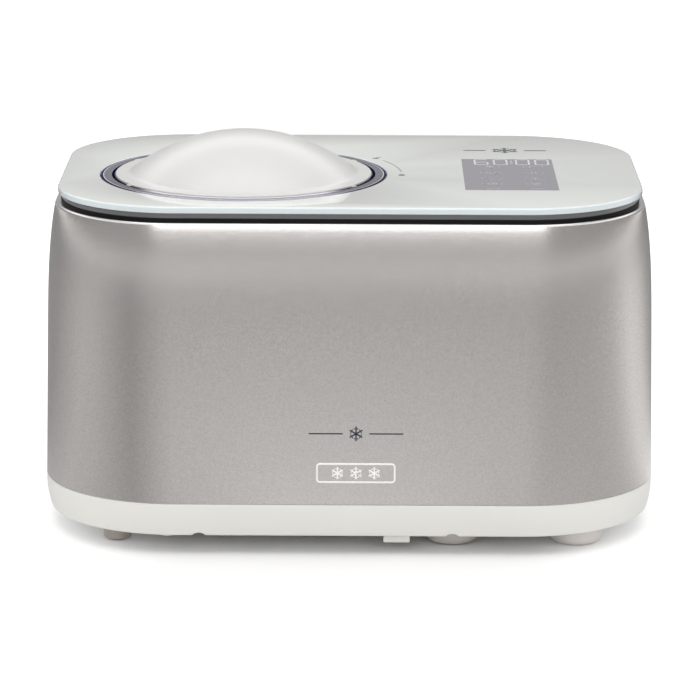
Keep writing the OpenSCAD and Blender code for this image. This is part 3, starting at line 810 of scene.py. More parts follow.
def build_base():
    """The white base: a wall that tucks under, and a floor with slots."""
    wall = 0.0026
    heights = [SEAM_Z - (SEAM_Z - FOOT_H - 0.0008) * i / 18 for i in range(19)]
    outer = [(0.0004, SEAM_Z), *[(base_inset(z), z) for z in heights[1:]]]
    outer += [(body_set().tuck + 0.0006, FOOT_H + 0.0002), (body_set().tuck + 0.0016, FOOT_H)]
    outer += [(body_set().tuck + 0.0030, FOOT_H + 0.0002), (body_set().tuck + 0.0036, FOOT_H + 0.001)]
    inner = [(body_set().tuck + wall, FOOT_H + 0.004), (wall, SEAM_Z - 0.008), (wall, SEAM_Z)]

    def shell(b):
        rows = swept(b, [*outer, *inner], closed=False)
        floor_row = rows[len(outer) - 1]
        ceiling_row = rows[len(outer)]
        for i in range(len(floor_row)):
            j = (i + 1) % len(floor_row)
            face = b.faces.get((floor_row[i], floor_row[j], ceiling_row[j], ceiling_row[i]))
            if face:
                b.faces.remove(face)
        fill(b, floor_row)
        fill(b, ceiling_row)
        for i in range(len(rows[0])):
            j = (i + 1) % len(rows[0])
            b.faces.new((rows[-1][i], rows[-1][j], rows[0][j], rows[0][i]))

    material = moulded("base_plastic", body_set().plastic, 0.42)
    piece = new_piece("base_shell", shell, [material], "housing", ["base_tray"])

    def holes(b):
        z = FOOT_H - 0.0035
        for x in (-0.102, 0.071):
            rod(b, Vector((x, -HALF_D - 0.001, z)), Vector((x, -HALF_D + 0.013, z)), 0.006)
        slots = [(0.066 + 0.009 * k, 0.062) for k in range(12)]
        slots += [(x, 0.040) for x in (-0.180, -0.168, 0.008, 0.017)]
        for x, back in slots:
            bar(b, Vector((x, -0.060, FOOT_H - 0.001)), Vector((x + 0.0035, back, FOOT_H + 0.006)))
        gland = middle("cord_gland")
        bar(
            b,
            Vector((gland.x - 0.012, HALF_D - 0.016, gland.z - 0.009)),
            Vector((gland.x + 0.012, HALF_D + 0.001, gland.z + 0.009)),
        )

    carve(piece, holes)

    def pocket(b):
        gland = middle("cord_gland")
        low = Vector((gland.x - 0.0138, HALF_D - 0.0178, gland.z - 0.0112))
        high = Vector((gland.x + 0.0138, HALF_D - 0.0040, gland.z + 0.0098))
        bar(b, low, Vector((high.x, low.y + 0.002, high.z)))
        bar(b, low, Vector((low.x + 0.0022, high.y, high.z)))
        bar(b, Vector((high.x - 0.0022, low.y, low.z)), high)
        bar(b, Vector((low.x, low.y, high.z - 0.0012)), high)

    new_piece("gland_pocket", pocket, [material], "housing")

    def lugs(b):
        bar(b, Vector((0.024, -0.142, FOOT_H - 0.0055)), Vector((0.042, -0.132, FOOT_H + 0.002)))
        rod(b, Vector((-0.124, -0.138, FOOT_H - 0.0016)), Vector((-0.124, -0.138, FOOT_H + 0.002)), 0.0045)
        bmesh.ops.bevel(b, geom=b.edges, offset=0.0006, segments=3, affect="EDGES", clamp_overlap=True)

    new_piece("base_lugs", lugs, [material], "housing")


FOOT_Y = 0.108


def foot_profile(top, low, edge):
    """(radius, height) points of a foot, from its underside to its top."""
    points = [(low * 0.62, 0.0008), *rounded(low - edge, 0.0006 + edge, edge, -88, 0, 9)]
    return [*points, (top, FOOT_H + 0.001), (0, FOOT_H + 0.001)]


def build_feet():
    """Small feet on the left and large feet on the right; their rubber pads stay the CAD node foot_pads."""
    for kind, top, low, edge, colour, slot in (
        ("small_feet", 0.0105, 0.0096, 0.0026, body_set().small_foot, "foot_taupe"),
        ("large_feet", 0.020, 0.019, 0.0055, body_set().large_foot, "foot_pale"),
    ):
        box_low, box_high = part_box(kind)
        columns = sorted({round(box_low.x + top, 5), round(box_high.x - top, 5)})
        spots = [(x, y) for x in columns for y in (-FOOT_Y, FOOT_Y)]

        def feet(b, top=top, low=low, edge=edge, spots=spots):
            for x, y in spots:
                profile = [(low * 0.62, 0.002), *foot_profile(top, low, edge)]
                turned(b, [(0, 0.002), *profile], Vector((x, y, 0)), 64, closed=False)

        material = moulded(kind + "_plastic", colour, 0.40)
        new_piece(kind + "_moulded", feet, [material], "housing", [kind])


def build_band():
    """The black frame and the grey glossy trim under the glass."""
    glass_low = GLASS_LOW.z
    trim_low = glass_low - 0.0039
    black = finish(
        "black_plastic_band",
        srgb(16, 15, 19),
        0.5,
        tone=0.1,
        grain=(800.0, 0.000004),
        Specular_IOR_Level=0.15,
    )
    paint = srgb(96, 95, 96)
    grey = finish("grey_gloss_trim", paint, 0.16, tone=0.03, grain=(500.0, 0.000002), Coat_Weight=0.5)
    ledge, foot_z = CASING_TOP + 0.0001, 0.212
    band = [(0.0126, ledge), (0.0126, trim_low), (0.019, trim_low)]
    band += [(0.019, foot_z), (0.0166, foot_z), (0.0166, ledge)]
    new_piece("top_frame_ring", lambda b: swept(b, band), [black], "housing", ["top_frame"])
    trim = [(0.0134, trim_low), (0.0130, trim_low + 0.0006), (0.0129, glass_low - 0.0004)]
    trim += [(0.0131, glass_low), (0.017, glass_low), (0.017, trim_low)]
    new_piece("trim_ring", lambda b: swept(b, trim), [grey], "housing", ["trim_band"])


def build_glass():
    """The glass top: a printed face, a polished edge and a round hole."""
    s = top_set()
    low, high, r = GLASS_LOW.z, GLASS_TOP, s.edge_round

    def sheet_of_glass(b):
        stand = s.glass_inset
        side = [(stand + r, low), (stand + 0.0003, low + 0.0003), (stand, low + 0.0008), (stand, high - r)]
        top = rounded(stand + r, high - r, r, 180, 90, 7)
        swept(b, side, closed=False, index=1)
        outer = swept(b, top, closed=False, index=2)
        under = swept(b, [side[0], (side[0][0] + 0.0001, low)], closed=False, index=1)
        hole = [(s.opening + 0.0006, low), (s.opening, low + 0.0006)]
        hole += rounded(s.opening + 0.0008, high - 0.0008, 0.0008, 180, 90, 5)
        inner = turned(b, hole, CHAMBER, LID_STEPS, closed=False, index=1)
        fill(b, outer[-1], inner[-1], index=0)
        fill(b, under[-1], inner[0], index=0)

    # The bevel's finish is a lighter copy of the edge's, a painted highlight on the glass's own pale green.
    edge, bevel = glass_side("polished_glass_edge", s.glass_edge), glass_side("glass_bevel_highlight", s.bevel)
    finishes = [glass_face(), edge, bevel]
    new_piece("glass_sheet", sheet_of_glass, finishes, "housing", ["glass_top"], 50)


# ---- Display and marks ----

SEGMENTS = {"0": "abcdef", "6": "acdefg"}
SYMBOL_COLUMNS = (0.0985, 0.1290)
SYMBOL_ROWS = (0.0120, -0.0105, -0.0320, -0.0520)
SYMBOL_LIFT = 0.14 * MM
INK_LIFT = 0.06 * MM


def digit(shape, value, x, y, wide, tall, width, place, height):
    """A seven-segment digit with its lower left corner at x, y."""
    ends = {
        "a": ((0, 1), (1, 1)),
        "b": ((1, 0.5), (1, 1)),
        "c": ((1, 0), (1, 0.5)),
        "d": ((0, 0), (1, 0)),
        "e": ((0, 0), (0, 0.5)),
        "f": ((0, 0.5), (0, 1)),
        "g": ((0, 0.5), (1, 0.5)),
    }
    for name in SEGMENTS[value]:
        p, q = (Vector((x + wide * e[0], y + tall * e[1])) for e in ends[name])
        line = (q - p).normalized()
        side = Vector((-line.y, line.x)) * width / 2
        p, q = p + line * width * 0.25, q - line * width * 0.25
        nib = line * width / 2
        plate(shape, [p, p + nib - side, q - nib - side, q, q - nib + side, p + nib + side], place, height)


def build_display():
    """The display window, its digits and its touch symbols."""
    low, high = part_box("display_lens")
    cx, cy = (low.x + high.x) / 2, (low.y + high.y) / 2
    grain = (400.0, 0.000001)
    window = finish(
        "smoked_window", top_set().window, 0.2, tone=0.03, tone_scale=18.0, grain=grain, Coat_Weight=1.0
    )
    lit = finish("lit_segments", srgb(200, 198, 206), 0.5, tone=0.03)
    faint = finish("faint_symbols", srgb(180, 176, 184), 0.5, tone=0.05)
    outlines = finish("faint_outlines", srgb(167, 163, 171), 0.5, tone=0.05)
    outline = box_outline(cx, cy, (high.x - low.x) / 2, (high.y - low.y) / 2, 0.0006, 2)

    def lens(b):
        plate(b, outline, on_glass, 0.08 * MM)

    new_piece("display_window", lens, [window], "housing", ["display_lens"])
    row_y, tall, wide, lift = low.y + 0.0945, 0.0195, 0.0090, 0.16 * MM

    def digits(b):
        for value, x in zip("6000", (0.0885, 0.1022, 0.1180, 0.1317)):
            digit(b, value, x, row_y, wide, tall, 0.0014, on_glass, lift)
        for y in (0.32, 0.68):
            spot = box_outline(0.1146, row_y + tall * y, 0.0008, 0.0012, 0.0003, 2)
            plate(b, spot, on_glass, lift)

    new_piece("display_digits", digits, [lit], "housing")

    def symbols(b):
        put, up, line = on_glass, SYMBOL_LIFT, 0.0007
        for column, x in enumerate(SYMBOL_COLUMNS):
            for row, y in enumerate(SYMBOL_ROWS):
                kind = column * len(SYMBOL_ROWS) + row
                if kind == 0:
                    snowflake(b, x, y, 0.0034, line, put, up)
                elif kind == 1:
                    stroke(b, arc(x, y, 0.0030, 120, 420), line, put, up)
                    stroke(b, [(x, y + 0.0008), (x, y + 0.0040)], line, put, up)
                elif kind == 2:
                    stroke(b, [(x - 0.0032, y), (x + 0.0032, y)], line, put, up)
                elif kind == 3:
                    stroke(b, arc(x, y, 0.0032, 0, 345), line, put, up)
                    stroke(b, [(x, y + 0.0020), (x, y), (x + 0.0016, y)], line, put, up)
                elif kind == 4:
                    triangle = [(x - 0.0020, y - 0.0028), (x + 0.0030, y), (x - 0.0020, y + 0.0028)]
                    stroke(b, triangle, line, put, up, closed=True)
                elif kind == 5:
                    for side in (-0.0014, 0.0014):
                        stroke(b, [(x + side, y - 0.0028), (x + side, y + 0.0028)], line, put, up)
                elif kind == 6:
                    stroke(b, [(x - 0.0032, y), (x + 0.0032, y)], line, put, up)
                    stroke(b, [(x, y - 0.0032), (x, y + 0.0032)], line, put, up)
                else:
                    for shift in (-0.0018, 0.0, 0.0018):
                        bends = [0.0006 * math.sin(k * 0.9) for k in range(17)]
                        wave = [(x - 0.0032 + 0.0004 * k, y + shift + bend) for k, bend in enumerate(bends)]
                        stroke(b, wave, line * 0.8, put, up)
        for x in SYMBOL_COLUMNS:
            stroke(b, [(x - 0.0045, -0.0690), (x + 0.0045, -0.0690)], line, put, up)

    new_piece("touch_symbols", symbols, [faint], "housing")

    def pills(b):
        for x in SYMBOL_COLUMNS:
            for y in SYMBOL_ROWS:
                pill = box_outline(x, y, 0.0072, 0.0058, 0.0057, 8)
                stroke(b, pill, 0.0005, on_glass, SYMBOL_LIFT, closed=True)

    new_piece("touch_outlines", pills, [outlines], "housing")


def padlock(shape, cx, cy, size, opened, place, height):
    """A small padlock, shut or with its shackle swung open."""
    plate(shape, box_outline(cx, cy - size * 0.35, size, size * 0.75, size * 0.15, 2), place, height)
    shift = size * 1.1 if opened else 0
    hoop = [(cx - size * 0.6 + shift, cy), *arc(cx + shift, cy + size * 0.75, size * 0.6, 180, 0, 12)]
    if not opened:
        hoop.append((cx + size * 0.6, cy))
    stroke(shape, hoop, size * 0.3, place, height)


def build_marks():
    """Printed marks: the lock arc on the glass, and plain ornaments in place of lettering."""
    dark = ink("glass_ink", top_set().ink)
    navy = ink("front_ink", srgb(28, 32, 52))
    reach = 0.111

    def lock_marks(b):
        points = arc(CHAMBER.x, CHAMBER.y, reach, 28, 4, 30)
        stroke(b, points, 0.0005, on_glass, INK_LIFT)
        for angle, opened in ((33.4, True), (-2.0, False)):
            a = math.radians(angle)
            x, y = CHAMBER.x + reach * math.cos(a), CHAMBER.y + reach * math.sin(a)
            padlock(b, x, y, 0.0021, opened, on_glass, INK_LIFT)

    new_piece("lock_marks", lock_marks, [dark], "housing")

    def glass_ornament(b):
        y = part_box("display_lens")[1].y + 0.035
        centre = middle("display_lens").x
        snowflake(b, centre, y, 0.0100, 0.0024, on_glass, INK_LIFT)
        for side in (-1, 1):
            ends = [(centre + side * 0.014, y), (centre + side * 0.030, y)]
            stroke(b, ends, 0.0026, on_glass, INK_LIFT)

    new_piece("glass_ornament", glass_ornament, [dark], "housing")

    def front_ornament(b):
        x, z = middle("front_badge").x, 0.0860
        snowflake(b, x, z, 0.0050, 0.0010, on_front, INK_LIFT)
        for side in (-1, 1):
            ends = [(x + side * 0.009, z), (x + side * 0.032, z)]
            stroke(b, ends, 0.0009, on_front, INK_LIFT)

    new_piece("front_ornament", front_ornament, [navy], "housing")


def build_badge():
    """A raised badge with three plain snowflakes."""
    low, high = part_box("front_badge")
    cx, cz = (low.x + high.x) / 2, (low.z + high.z) / 2
    half_x, half_z = (high.x - low.x) / 2, (high.z - low.z) / 2
    face = low.y

    def outline(inset, y):
        points = box_outline(cx, cz, half_x - inset, half_z - inset, max(0.0004, 0.0026 - inset), 6)
        return [Vector((p[0], y, p[1])) for p in points]

    def rim(b):
        levels = [(0, face + 0.0009), (0, face + 0.0003), (0.0001, face + 0.0001), (0.0003, face)]
        levels += [(0.0010, face), (0.0012, face + 0.0001), (0.0013, face + 0.0005)]
        skin(b, [outline(*level) for level in levels], closed=True)

    def field(b):
        rows = skin(b, [outline(0.0012, face + 0.0009), outline(0.0012, face + 0.00045)], closed=False)
        fill(b, rows[0])
        fill(b, rows[1])

    def raised(b):
        def on_badge(x, z, height):
            return Vector((x, face + 0.00045 - height, z))

        for k in (-1, 0, 1):
            snowflake(b, cx + k * 0.0125, cz, 0.0043, 0.0010, on_badge, 0.0003)

    paint = srgb(240, 239, 236)
    bright = finish("badge_enamel", paint, 0.32, metallic=0.15, tone=0.02, grain=(900.0, 0.000003))
    new_piece("badge_rim", rim, [bright], "housing", ["front_badge"])
    new_piece("badge_field", field, [casing_metal()], "housing")
    new_piece("badge_snowflakes", raised, [bright], "housing")


# ---- Back ----


def build_grille():
    """The louvred vent panel in the back."""
    low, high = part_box("rear_grille")
    material = moulded("grille_plastic", srgb(216, 215, 210), 0.45)

    def panel(b):
        border = 0.006
        bar(b, low, Vector((high.x, high.y, low.z + border)))
        bar(b, Vector((low.x, low.y, high.z - border)), high)
        for x in (low.x, (low.x + high.x - border) / 2, high.x - border):
            bar(b, Vector((x, low.y, low.z + border)), Vector((x + border, high.y, high.z - border)))
        count = 15
        pitch = (high.z - low.z - 2 * border) / count
        for k in range(count):
            z = low.z + border + pitch * (k + 0.5)
            front = Vector((low.x, high.y - 0.0040, z - 0.0009))
            for vert in bar(b, front, Vector((high.x, high.y - 0.0002, z + 0.0009))):
                vert.co.z -= (vert.co.y - high.y + 0.0021) * 0.75
        bmesh.ops.bevel(b, geom=b.edges, offset=0.0003, segments=2, affect="EDGES", clamp_overlap=True)

    new_piece("vent_panel", panel, [material], "housing", ["rear_grille"])


def build_gland():
    """The soft bush that the mains lead would pass through."""
    low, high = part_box("cord_gland")
    centre = middle("cord_gland")

    def bush(b):
        profile = [
            (0.0036, low.y),
            (0.0076, low.y),
            (0.0080, low.y + 0.0006),
            (0.0080, low.y + 0.0032),
            (0.0060, low.y + 0.0038),
            (0.0060, low.y + 0.0059),
            (0.0080, low.y + 0.0062),
            (0.0080, low.y + 0.0084),
            (0.0060, low.y + 0.0090),
        ]
        for k in range(4):
            y = low.y + 0.0100 + 0.0026 * k
            profile += [(0.0059, y), (0.0050, y + 0.0004), (0.0050, y + 0.0012), (0.0058, y + 0.0016)]
        profile += [(0.0054, high.y - 0.0004), (0.0050, high.y), (0.0036, high.y)]
        rings = []
        for r, y in profile:
            turns = [2 * math.pi * i / 64 for i in range(64)]
            rings.append([Vector((centre.x + r * math.cos(a), y, centre.z + r * math.sin(a))) for a in turns])
        skin(b, rings, closed=True)

    soft = rubber("gland_rubber", srgb(30, 30, 31))
    new_piece("cord_bush", bush, [soft], "housing", ["cord_gland"])


# ---- Lid ----


def build_lid():
    """The clear rim with its lugs, its painted dark edge lines and painted highlight line, and the white
    domed centre.
    """
    s = top_set()
    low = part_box("lid_rim")[0]
    rim_low = GLASS_TOP - 0.0030
    line_in = s.white + 0.0004

    def rim(b):
        profile = [(0.0825, low.z), (0.0850, low.z), (0.0850, rim_low - 0.0006), (0.0856, rim_low)]
        profile += [(s.rim - 0.0006, rim_low), (s.rim, rim_low + 0.0006)]
        profile += rounded(s.rim - 0.0009, GLASS_TOP - 0.0009, 0.0009, 0, 90, 6)
        profile += [(line_in + 0.0003, GLASS_TOP), (line_in, GLASS_TOP - 0.0003)]
        profile += [(line_in, GLASS_TOP - 0.001), (0.0825, GLASS_TOP - 0.001)]
        turned(b, profile, CHAMBER, LID_STEPS)

    new_piece("lid_rim_clear", rim, [rim_clear()], "lid", ["lid_rim", "lid_skirt"])
    sheen = 0.00003

    def ring(inner, outer, lift):
        profile = [(inner, GLASS_TOP + lift), (outer, GLASS_TOP + lift), (outer, GLASS_TOP - 0.0003)]
        return [*profile, (inner, GLASS_TOP - 0.0003)]

    def inner_line(b):
        turned(b, ring(line_in + 0.0003, line_in + 0.0023, sheen), CHAMBER, LID_STEPS)

    def outer_line(b):
        turned(b, ring(s.rim - 0.0008, s.rim - 0.0001, sheen), CHAMBER, LID_STEPS)

    def highlight(b):
        turned(b, ring(s.rim - 0.0018, s.rim - 0.0012, sheen), CHAMBER, LID_STEPS)

    # Painted shade: dark edge lines, pale at the front and navy at the sides, stand in for how light shows in
    # the clear rim's walls.
    inner_edge_shade = painted_rim_line("painted_inner_edge_shade", srgb(236, 233, 242), srgb(12, 11, 44))
    fine = painted_rim_line("painted_outer_edge_shade", srgb(192, 186, 206), srgb(30, 28, 74))
    # Painted highlight: a thin light line just inside the rim's outer edge.
    light = painted_rim_line("painted_rim_highlight", srgb(205, 202, 214), srgb(190, 189, 200))
    new_piece("lid_inner_shade_line", inner_line, [inner_edge_shade], "lid")
    new_piece("lid_outer_shade_line", outer_line, [fine], "lid")
    new_piece("lid_highlight_line", highlight, [light], "lid")

    def lugs(b):
        for angle in (32, 148, 212, 328):
            foot = Vector((line_in, -0.0025, GLASS_TOP - 0.0001))
            tip = Vector((line_in + 0.0022, 0.0025, GLASS_TOP + 0.0007))
            turn = Matrix.Rotation(math.radians(angle), 4, "Z")
            turn.translation = (CHAMBER.x, CHAMBER.y, 0)
            bmesh.ops.transform(b, matrix=turn, verts=bar(b, foot, tip))
        bmesh.ops.bevel(b, geom=b.edges, offset=0.0002, segments=2, affect="EDGES", clamp_overlap=True)

    new_piece("lid_lugs", lugs, [lid_white()], "lid")

    low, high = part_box("lid_dome")
    margin_z = GLASS_TOP + 0.0012
    rise = high.z - margin_z
    big = (s.cap**2 + rise**2) / (2 * rise)

    def cap_height(r):
        return high.z - big + math.sqrt(big * big - r * r)

    def dome(b):
        outside = [(s.white, low.z), (s.white, margin_z - 0.0004), (s.white - 0.0004, margin_z)]
        foot, ease = Vector((s.cap + 0.002, margin_z)), s.cap - 0.0015
        knee, join = Vector((s.cap, margin_z)), Vector((ease, cap_height(ease)))
        for k in range(7):
            t = k / 6
            outside.append(tuple(foot * (1 - t) ** 2 + knee * 2 * t * (1 - t) + join * t * t))
        outside += [(ease * (1 - k / 48), cap_height(ease * (1 - k / 48))) for k in range(1, 49)]
        spans = [s.cap * k / 24 for k in range(24)]
        inside = [(r, cap_height(r) - 0.0024) for r in spans] + [(s.cap, low.z)]
        turned(b, [*outside, *inside], CHAMBER, LID_STEPS, closed=True)

    new_piece("lid_dome_white", dome, [lid_white()], "lid", ["lid_dome"], 40)


def build_bowl():
    """The lift-out bowl, with a rolled rim and a centre tube."""
    low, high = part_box("bowl")
    radius, wall, tube = 0.078, 0.0015, 0.009

    def body(b):
        rim = (high.x - low.x) / 2
        outside = [(tube - 0.002, low.z), (radius - 0.004, low.z)]
        outside += rounded(radius - 0.004, low.z + 0.004, 0.004, -90, 0, 6)[1:]
        outside += [(radius, high.z - 0.0024), (radius + 0.001, high.z - 0.0014)]
        outside += rounded(rim - 0.0007, high.z - 0.0007, 0.0007, -90, 90, 8)
        inside = [(radius, high.z), (radius - wall, high.z - 0.0015)]
        inside += rounded(radius - wall - 0.006, low.z + 0.008, 0.006, 0, -90, 7)
        inside += rounded(tube + 0.003, low.z + 0.005, 0.003, -90, -180, 5)
        inside += [(tube, 0.1672), (tube - 0.0008, 0.168), (tube - 0.0012, 0.168), (tube - 0.002, 0.1672)]
        turned(b, [*outside, *inside], CHAMBER, 160)

    material = brushed("bowl_satin", srgb(206, 206, 208), (30.0, 30.0, 1800.0), 0.28, 0.05)
    new_piece("bowl_spun", body, [material], "bowl", ["bowl"])


def dress(node, material, round_edges=0.0):
    """Gives a CAD node a finish and, where asked, slightly rounded edges."""
    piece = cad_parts[node]
    piece.data.materials.clear()
    piece.data.materials.append(material)
    if round_edges:
        weld = piece.modifiers.new("weld", "WELD")
        weld.merge_threshold = 1e-6
        bevel = piece.modifiers.new("edges", "BEVEL")
        bevel.width = round_edges
        bevel.segments = 3
        bevel.limit_method = "ANGLE"
        bevel.angle_limit = math.radians(40)
        bevel.harden_normals = True


def dress_inside():
    """Finishes for the nodes that keep their CAD shape."""
    steel = brushed("ground_steel", srgb(198, 198, 200))
    zinc = finish("zinc_plated_sheet", srgb(176, 178, 182), 0.36, metallic=0.9, tone=0.1, tone_scale=50.0)
    black_plastic = moulded("black_plastic", srgb(28, 28, 30), 0.5)
    dark_rubber = rubber("dark_rubber", srgb(34, 33, 33))
    board = finish("circuit_board", srgb(28, 92, 58), 0.38, tone=0.12, tone_scale=90.0, Coat_Weight=0.3)
    paint = srgb(226, 216, 178)
    foam = finish("rigid_foam", paint, 0.85, tone=0.1, tone_scale=70.0, grain=(500.0, 0.0002))
    paint = srgb(178, 128, 66)
    bronze = finish("sintered_bronze", paint, 0.45, metallic=0.9, tone=0.15, grain=(2200.0, 0.00003))
    acetal = moulded("acetal_gear", srgb(232, 226, 202), 0.35)
    casing_plastic = moulded("gearbox_plastic", srgb(62, 64, 68), 0.5)
    paint = srgb(22, 22, 23)
    enamel = finish("black_enamel", paint, 0.22, tone=0.1, grain=(350.0, 0.00002), Coat_Weight=0.6)
    laminated = brushed("motor_laminations", srgb(120, 122, 126), (80.0, 80.0, 5200.0), 0.45, 0.3)
    wires = ((120.0, 3200.0, 120.0), 0.3, 0.0001)
    winding = finish("copper_winding", srgb(168, 84, 40), 0.3, metallic=0.8, tone=0.1, brush=wires)
    fins = brushed("fin_aluminium", srgb(204, 206, 208), (40.0, 900.0, 2400.0), 0.35, 0.1)
    pot = brushed("drawn_aluminium", srgb(188, 190, 193), (40.0, 40.0, 1500.0), 0.34, 0.08)
    pipes = ["evaporator_coil", "condenser_tube", "filter_drier"]
    pipes += ["suction_pipe", "discharge_pipe", "liquid_pipe"]
    black_parts = ["lid_switch", "fan_frame", "fan_motor", "fan_rotor", "compressor_cover", "board_parts"]
    for material, nodes in (
        (steel, ["drive_shaft", "idler_pin", "motor_rotor", "base_screws"]),
        (zinc, ["chamber_bracket", "motor_bracket", "carrier_plate"]),
        (black_plastic, black_parts),
        (dark_rubber, ["foot_pads", "shaft_seal", "carrier_grommets"]),
        (board, ["display_board", "power_board"]),
        (foam, ["insulation_upper", "insulation_lower"]),
        (bronze, ["shaft_bushes"]),
        (acetal, ["output_gear", "idler_gear"]),
        (brushed("brass_pinion", srgb(206, 176, 104)), ["motor_pinion"]),
        (casing_plastic, ["gearbox_case", "gearbox_cover"]),
        (enamel, ["compressor_shell"]),
        (laminated, ["motor_stator"]),
        (winding, ["motor_coils"]),
        (fins, ["condenser_fins"]),
        (pot, ["evaporator_pot"]),
        (copper(), pipes),
        (moulded("deck_plastic", srgb(232, 235, 232), 0.5), ["top_deck"]),
        (moulded("plunger_plastic", srgb(196, 70, 48), 0.4), ["switch_plunger"]),
        (moulded("seat_plastic", srgb(228, 226, 232), 0.4), ["lid_seat"]),
        (rubber("pale_silicone", srgb(226, 226, 224)), ["lid_seal"]),
        (moulded("paddle_plastic", srgb(240, 240, 238), 0.38), ["paddle"]),
    ):
        for node in nodes:
            dress(node, material, 0.0006 if node == "paddle" else 0.0)


# ---- Stage ----


def area_light(name, place, aim, size, radiance):
    """A soft rectangular light that faces a point, with the brightness of its surface given."""
    data = bpy.data.lights.new(name, "AREA")
    data.shape = "RECTANGLE"
    data.size, data.size_y = size
    data.energy = radiance * math.pi * size[0] * size[1]
    lamp = bpy.data.objects.new(name, data)
    lamp.location = place
    lamp.rotation_euler = (Vector(aim) - Vector(place)).to_track_quat("-Z", "Y").to_euler()
    lamp.visible_camera = False
    bpy.context.scene.collection.objects.link(lamp)


# Brightness of the grey surround by the direction, in degrees, to the right of straight ahead
SURROUND = (
    (-180, 0.62),
    (-160, 0.32),
    (-120, 0.38),
    (-82, 0.65),
    (-68, 0.59),
    (-42, 0.345),
    (-25, 0.46),
    (-10, 0.54),
    (10, 0.52),
    (30, 0.45),
    (62, 0.54),
    (78, 0.64),
    (98, 0.98),
    (112, 0.86),
    (128, 0.50),
    (142, 0.34),
    (160, 0.24),
    (180, 0.62),
)


def fade_in(tree, value, start, end, level=1.0):
    """Rises smoothly from 0 at one value to a level at another."""
    ramp = add_node(tree, "ShaderNodeMapRange", {"interpolation_type": "SMOOTHSTEP"}, Value=value)
    for key, number in (("From Min", start), ("From Max", end), ("To Max", level)):
        ramp.inputs[key].default_value = number
    return ramp.outputs[0]


def grey_surround():
    """A grey sheet round the pale table that only shows in reflections, brighter ahead and to the right."""
    rings = [disc_ring(radius, 0.002, Vector((0, 0, 0)), 96) for radius in (0.2, 3.2)]
    sheet = mesh_object("grey_surround", lambda b: skin(b, rings, closed=False), outward=False)
    sheet.visible_camera = sheet.visible_diffuse = sheet.visible_shadow = sheet.visible_transmission = False
    made = bpy.data.materials.new("grey_surround")
    made.use_nodes = True
    tree = made.node_tree
    tree.nodes.clear()
    place = object_place(tree)
    axes = add_node(tree, "ShaderNodeSeparateXYZ", Vector=place)
    ahead = math_node(tree, "MULTIPLY", axes.outputs["Y"], -1.0)
    angle = math_node(tree, "ARCTAN2", axes.outputs["X"], ahead)
    share = math_node(tree, "MULTIPLY_ADD", angle, 1 / (2 * math.pi), 0.5)
    ramp = tree.nodes.new("ShaderNodeValToRGB")
    tree.links.new(share, ramp.inputs["Fac"])
    stops = ramp.color_ramp.elements
    while len(stops) < len(SURROUND):
        stops.new(0.5)
    for stop, (turn, level) in zip(stops, SURROUND):
        stop.position = turn / 360 + 0.5
        stop.color = (level, level, level, 1)
    reach = vector_node(tree, "LENGTH", i0=place).outputs["Value"]
    near = math_node(tree, "MAXIMUM", math_node(tree, "SUBTRACT", 1.1, reach), 0.0)
    facing = math_node(tree, "MAXIMUM", math_node(tree, "DIVIDE", ahead, reach), 0.0)
    pool = math_node(tree, "MULTIPLY", near, math_node(tree, "POWER", facing, 2.0))
    strength = math_node(tree, "MULTIPLY_ADD", pool, 0.7, 1.0)
    strength = math_node(tree, "SUBTRACT", strength, fade_in(tree, reach, 0.9, 2.6, 0.28))
    glow = add_node(tree, "ShaderNodeEmission", Color=ramp.outputs["Color"], Strength=strength)
    out = tree.nodes.new("ShaderNodeOutputMaterial")
    tree.links.new(glow.outputs[0], out.inputs["Surface"])
    sheet.data.materials.append(made)


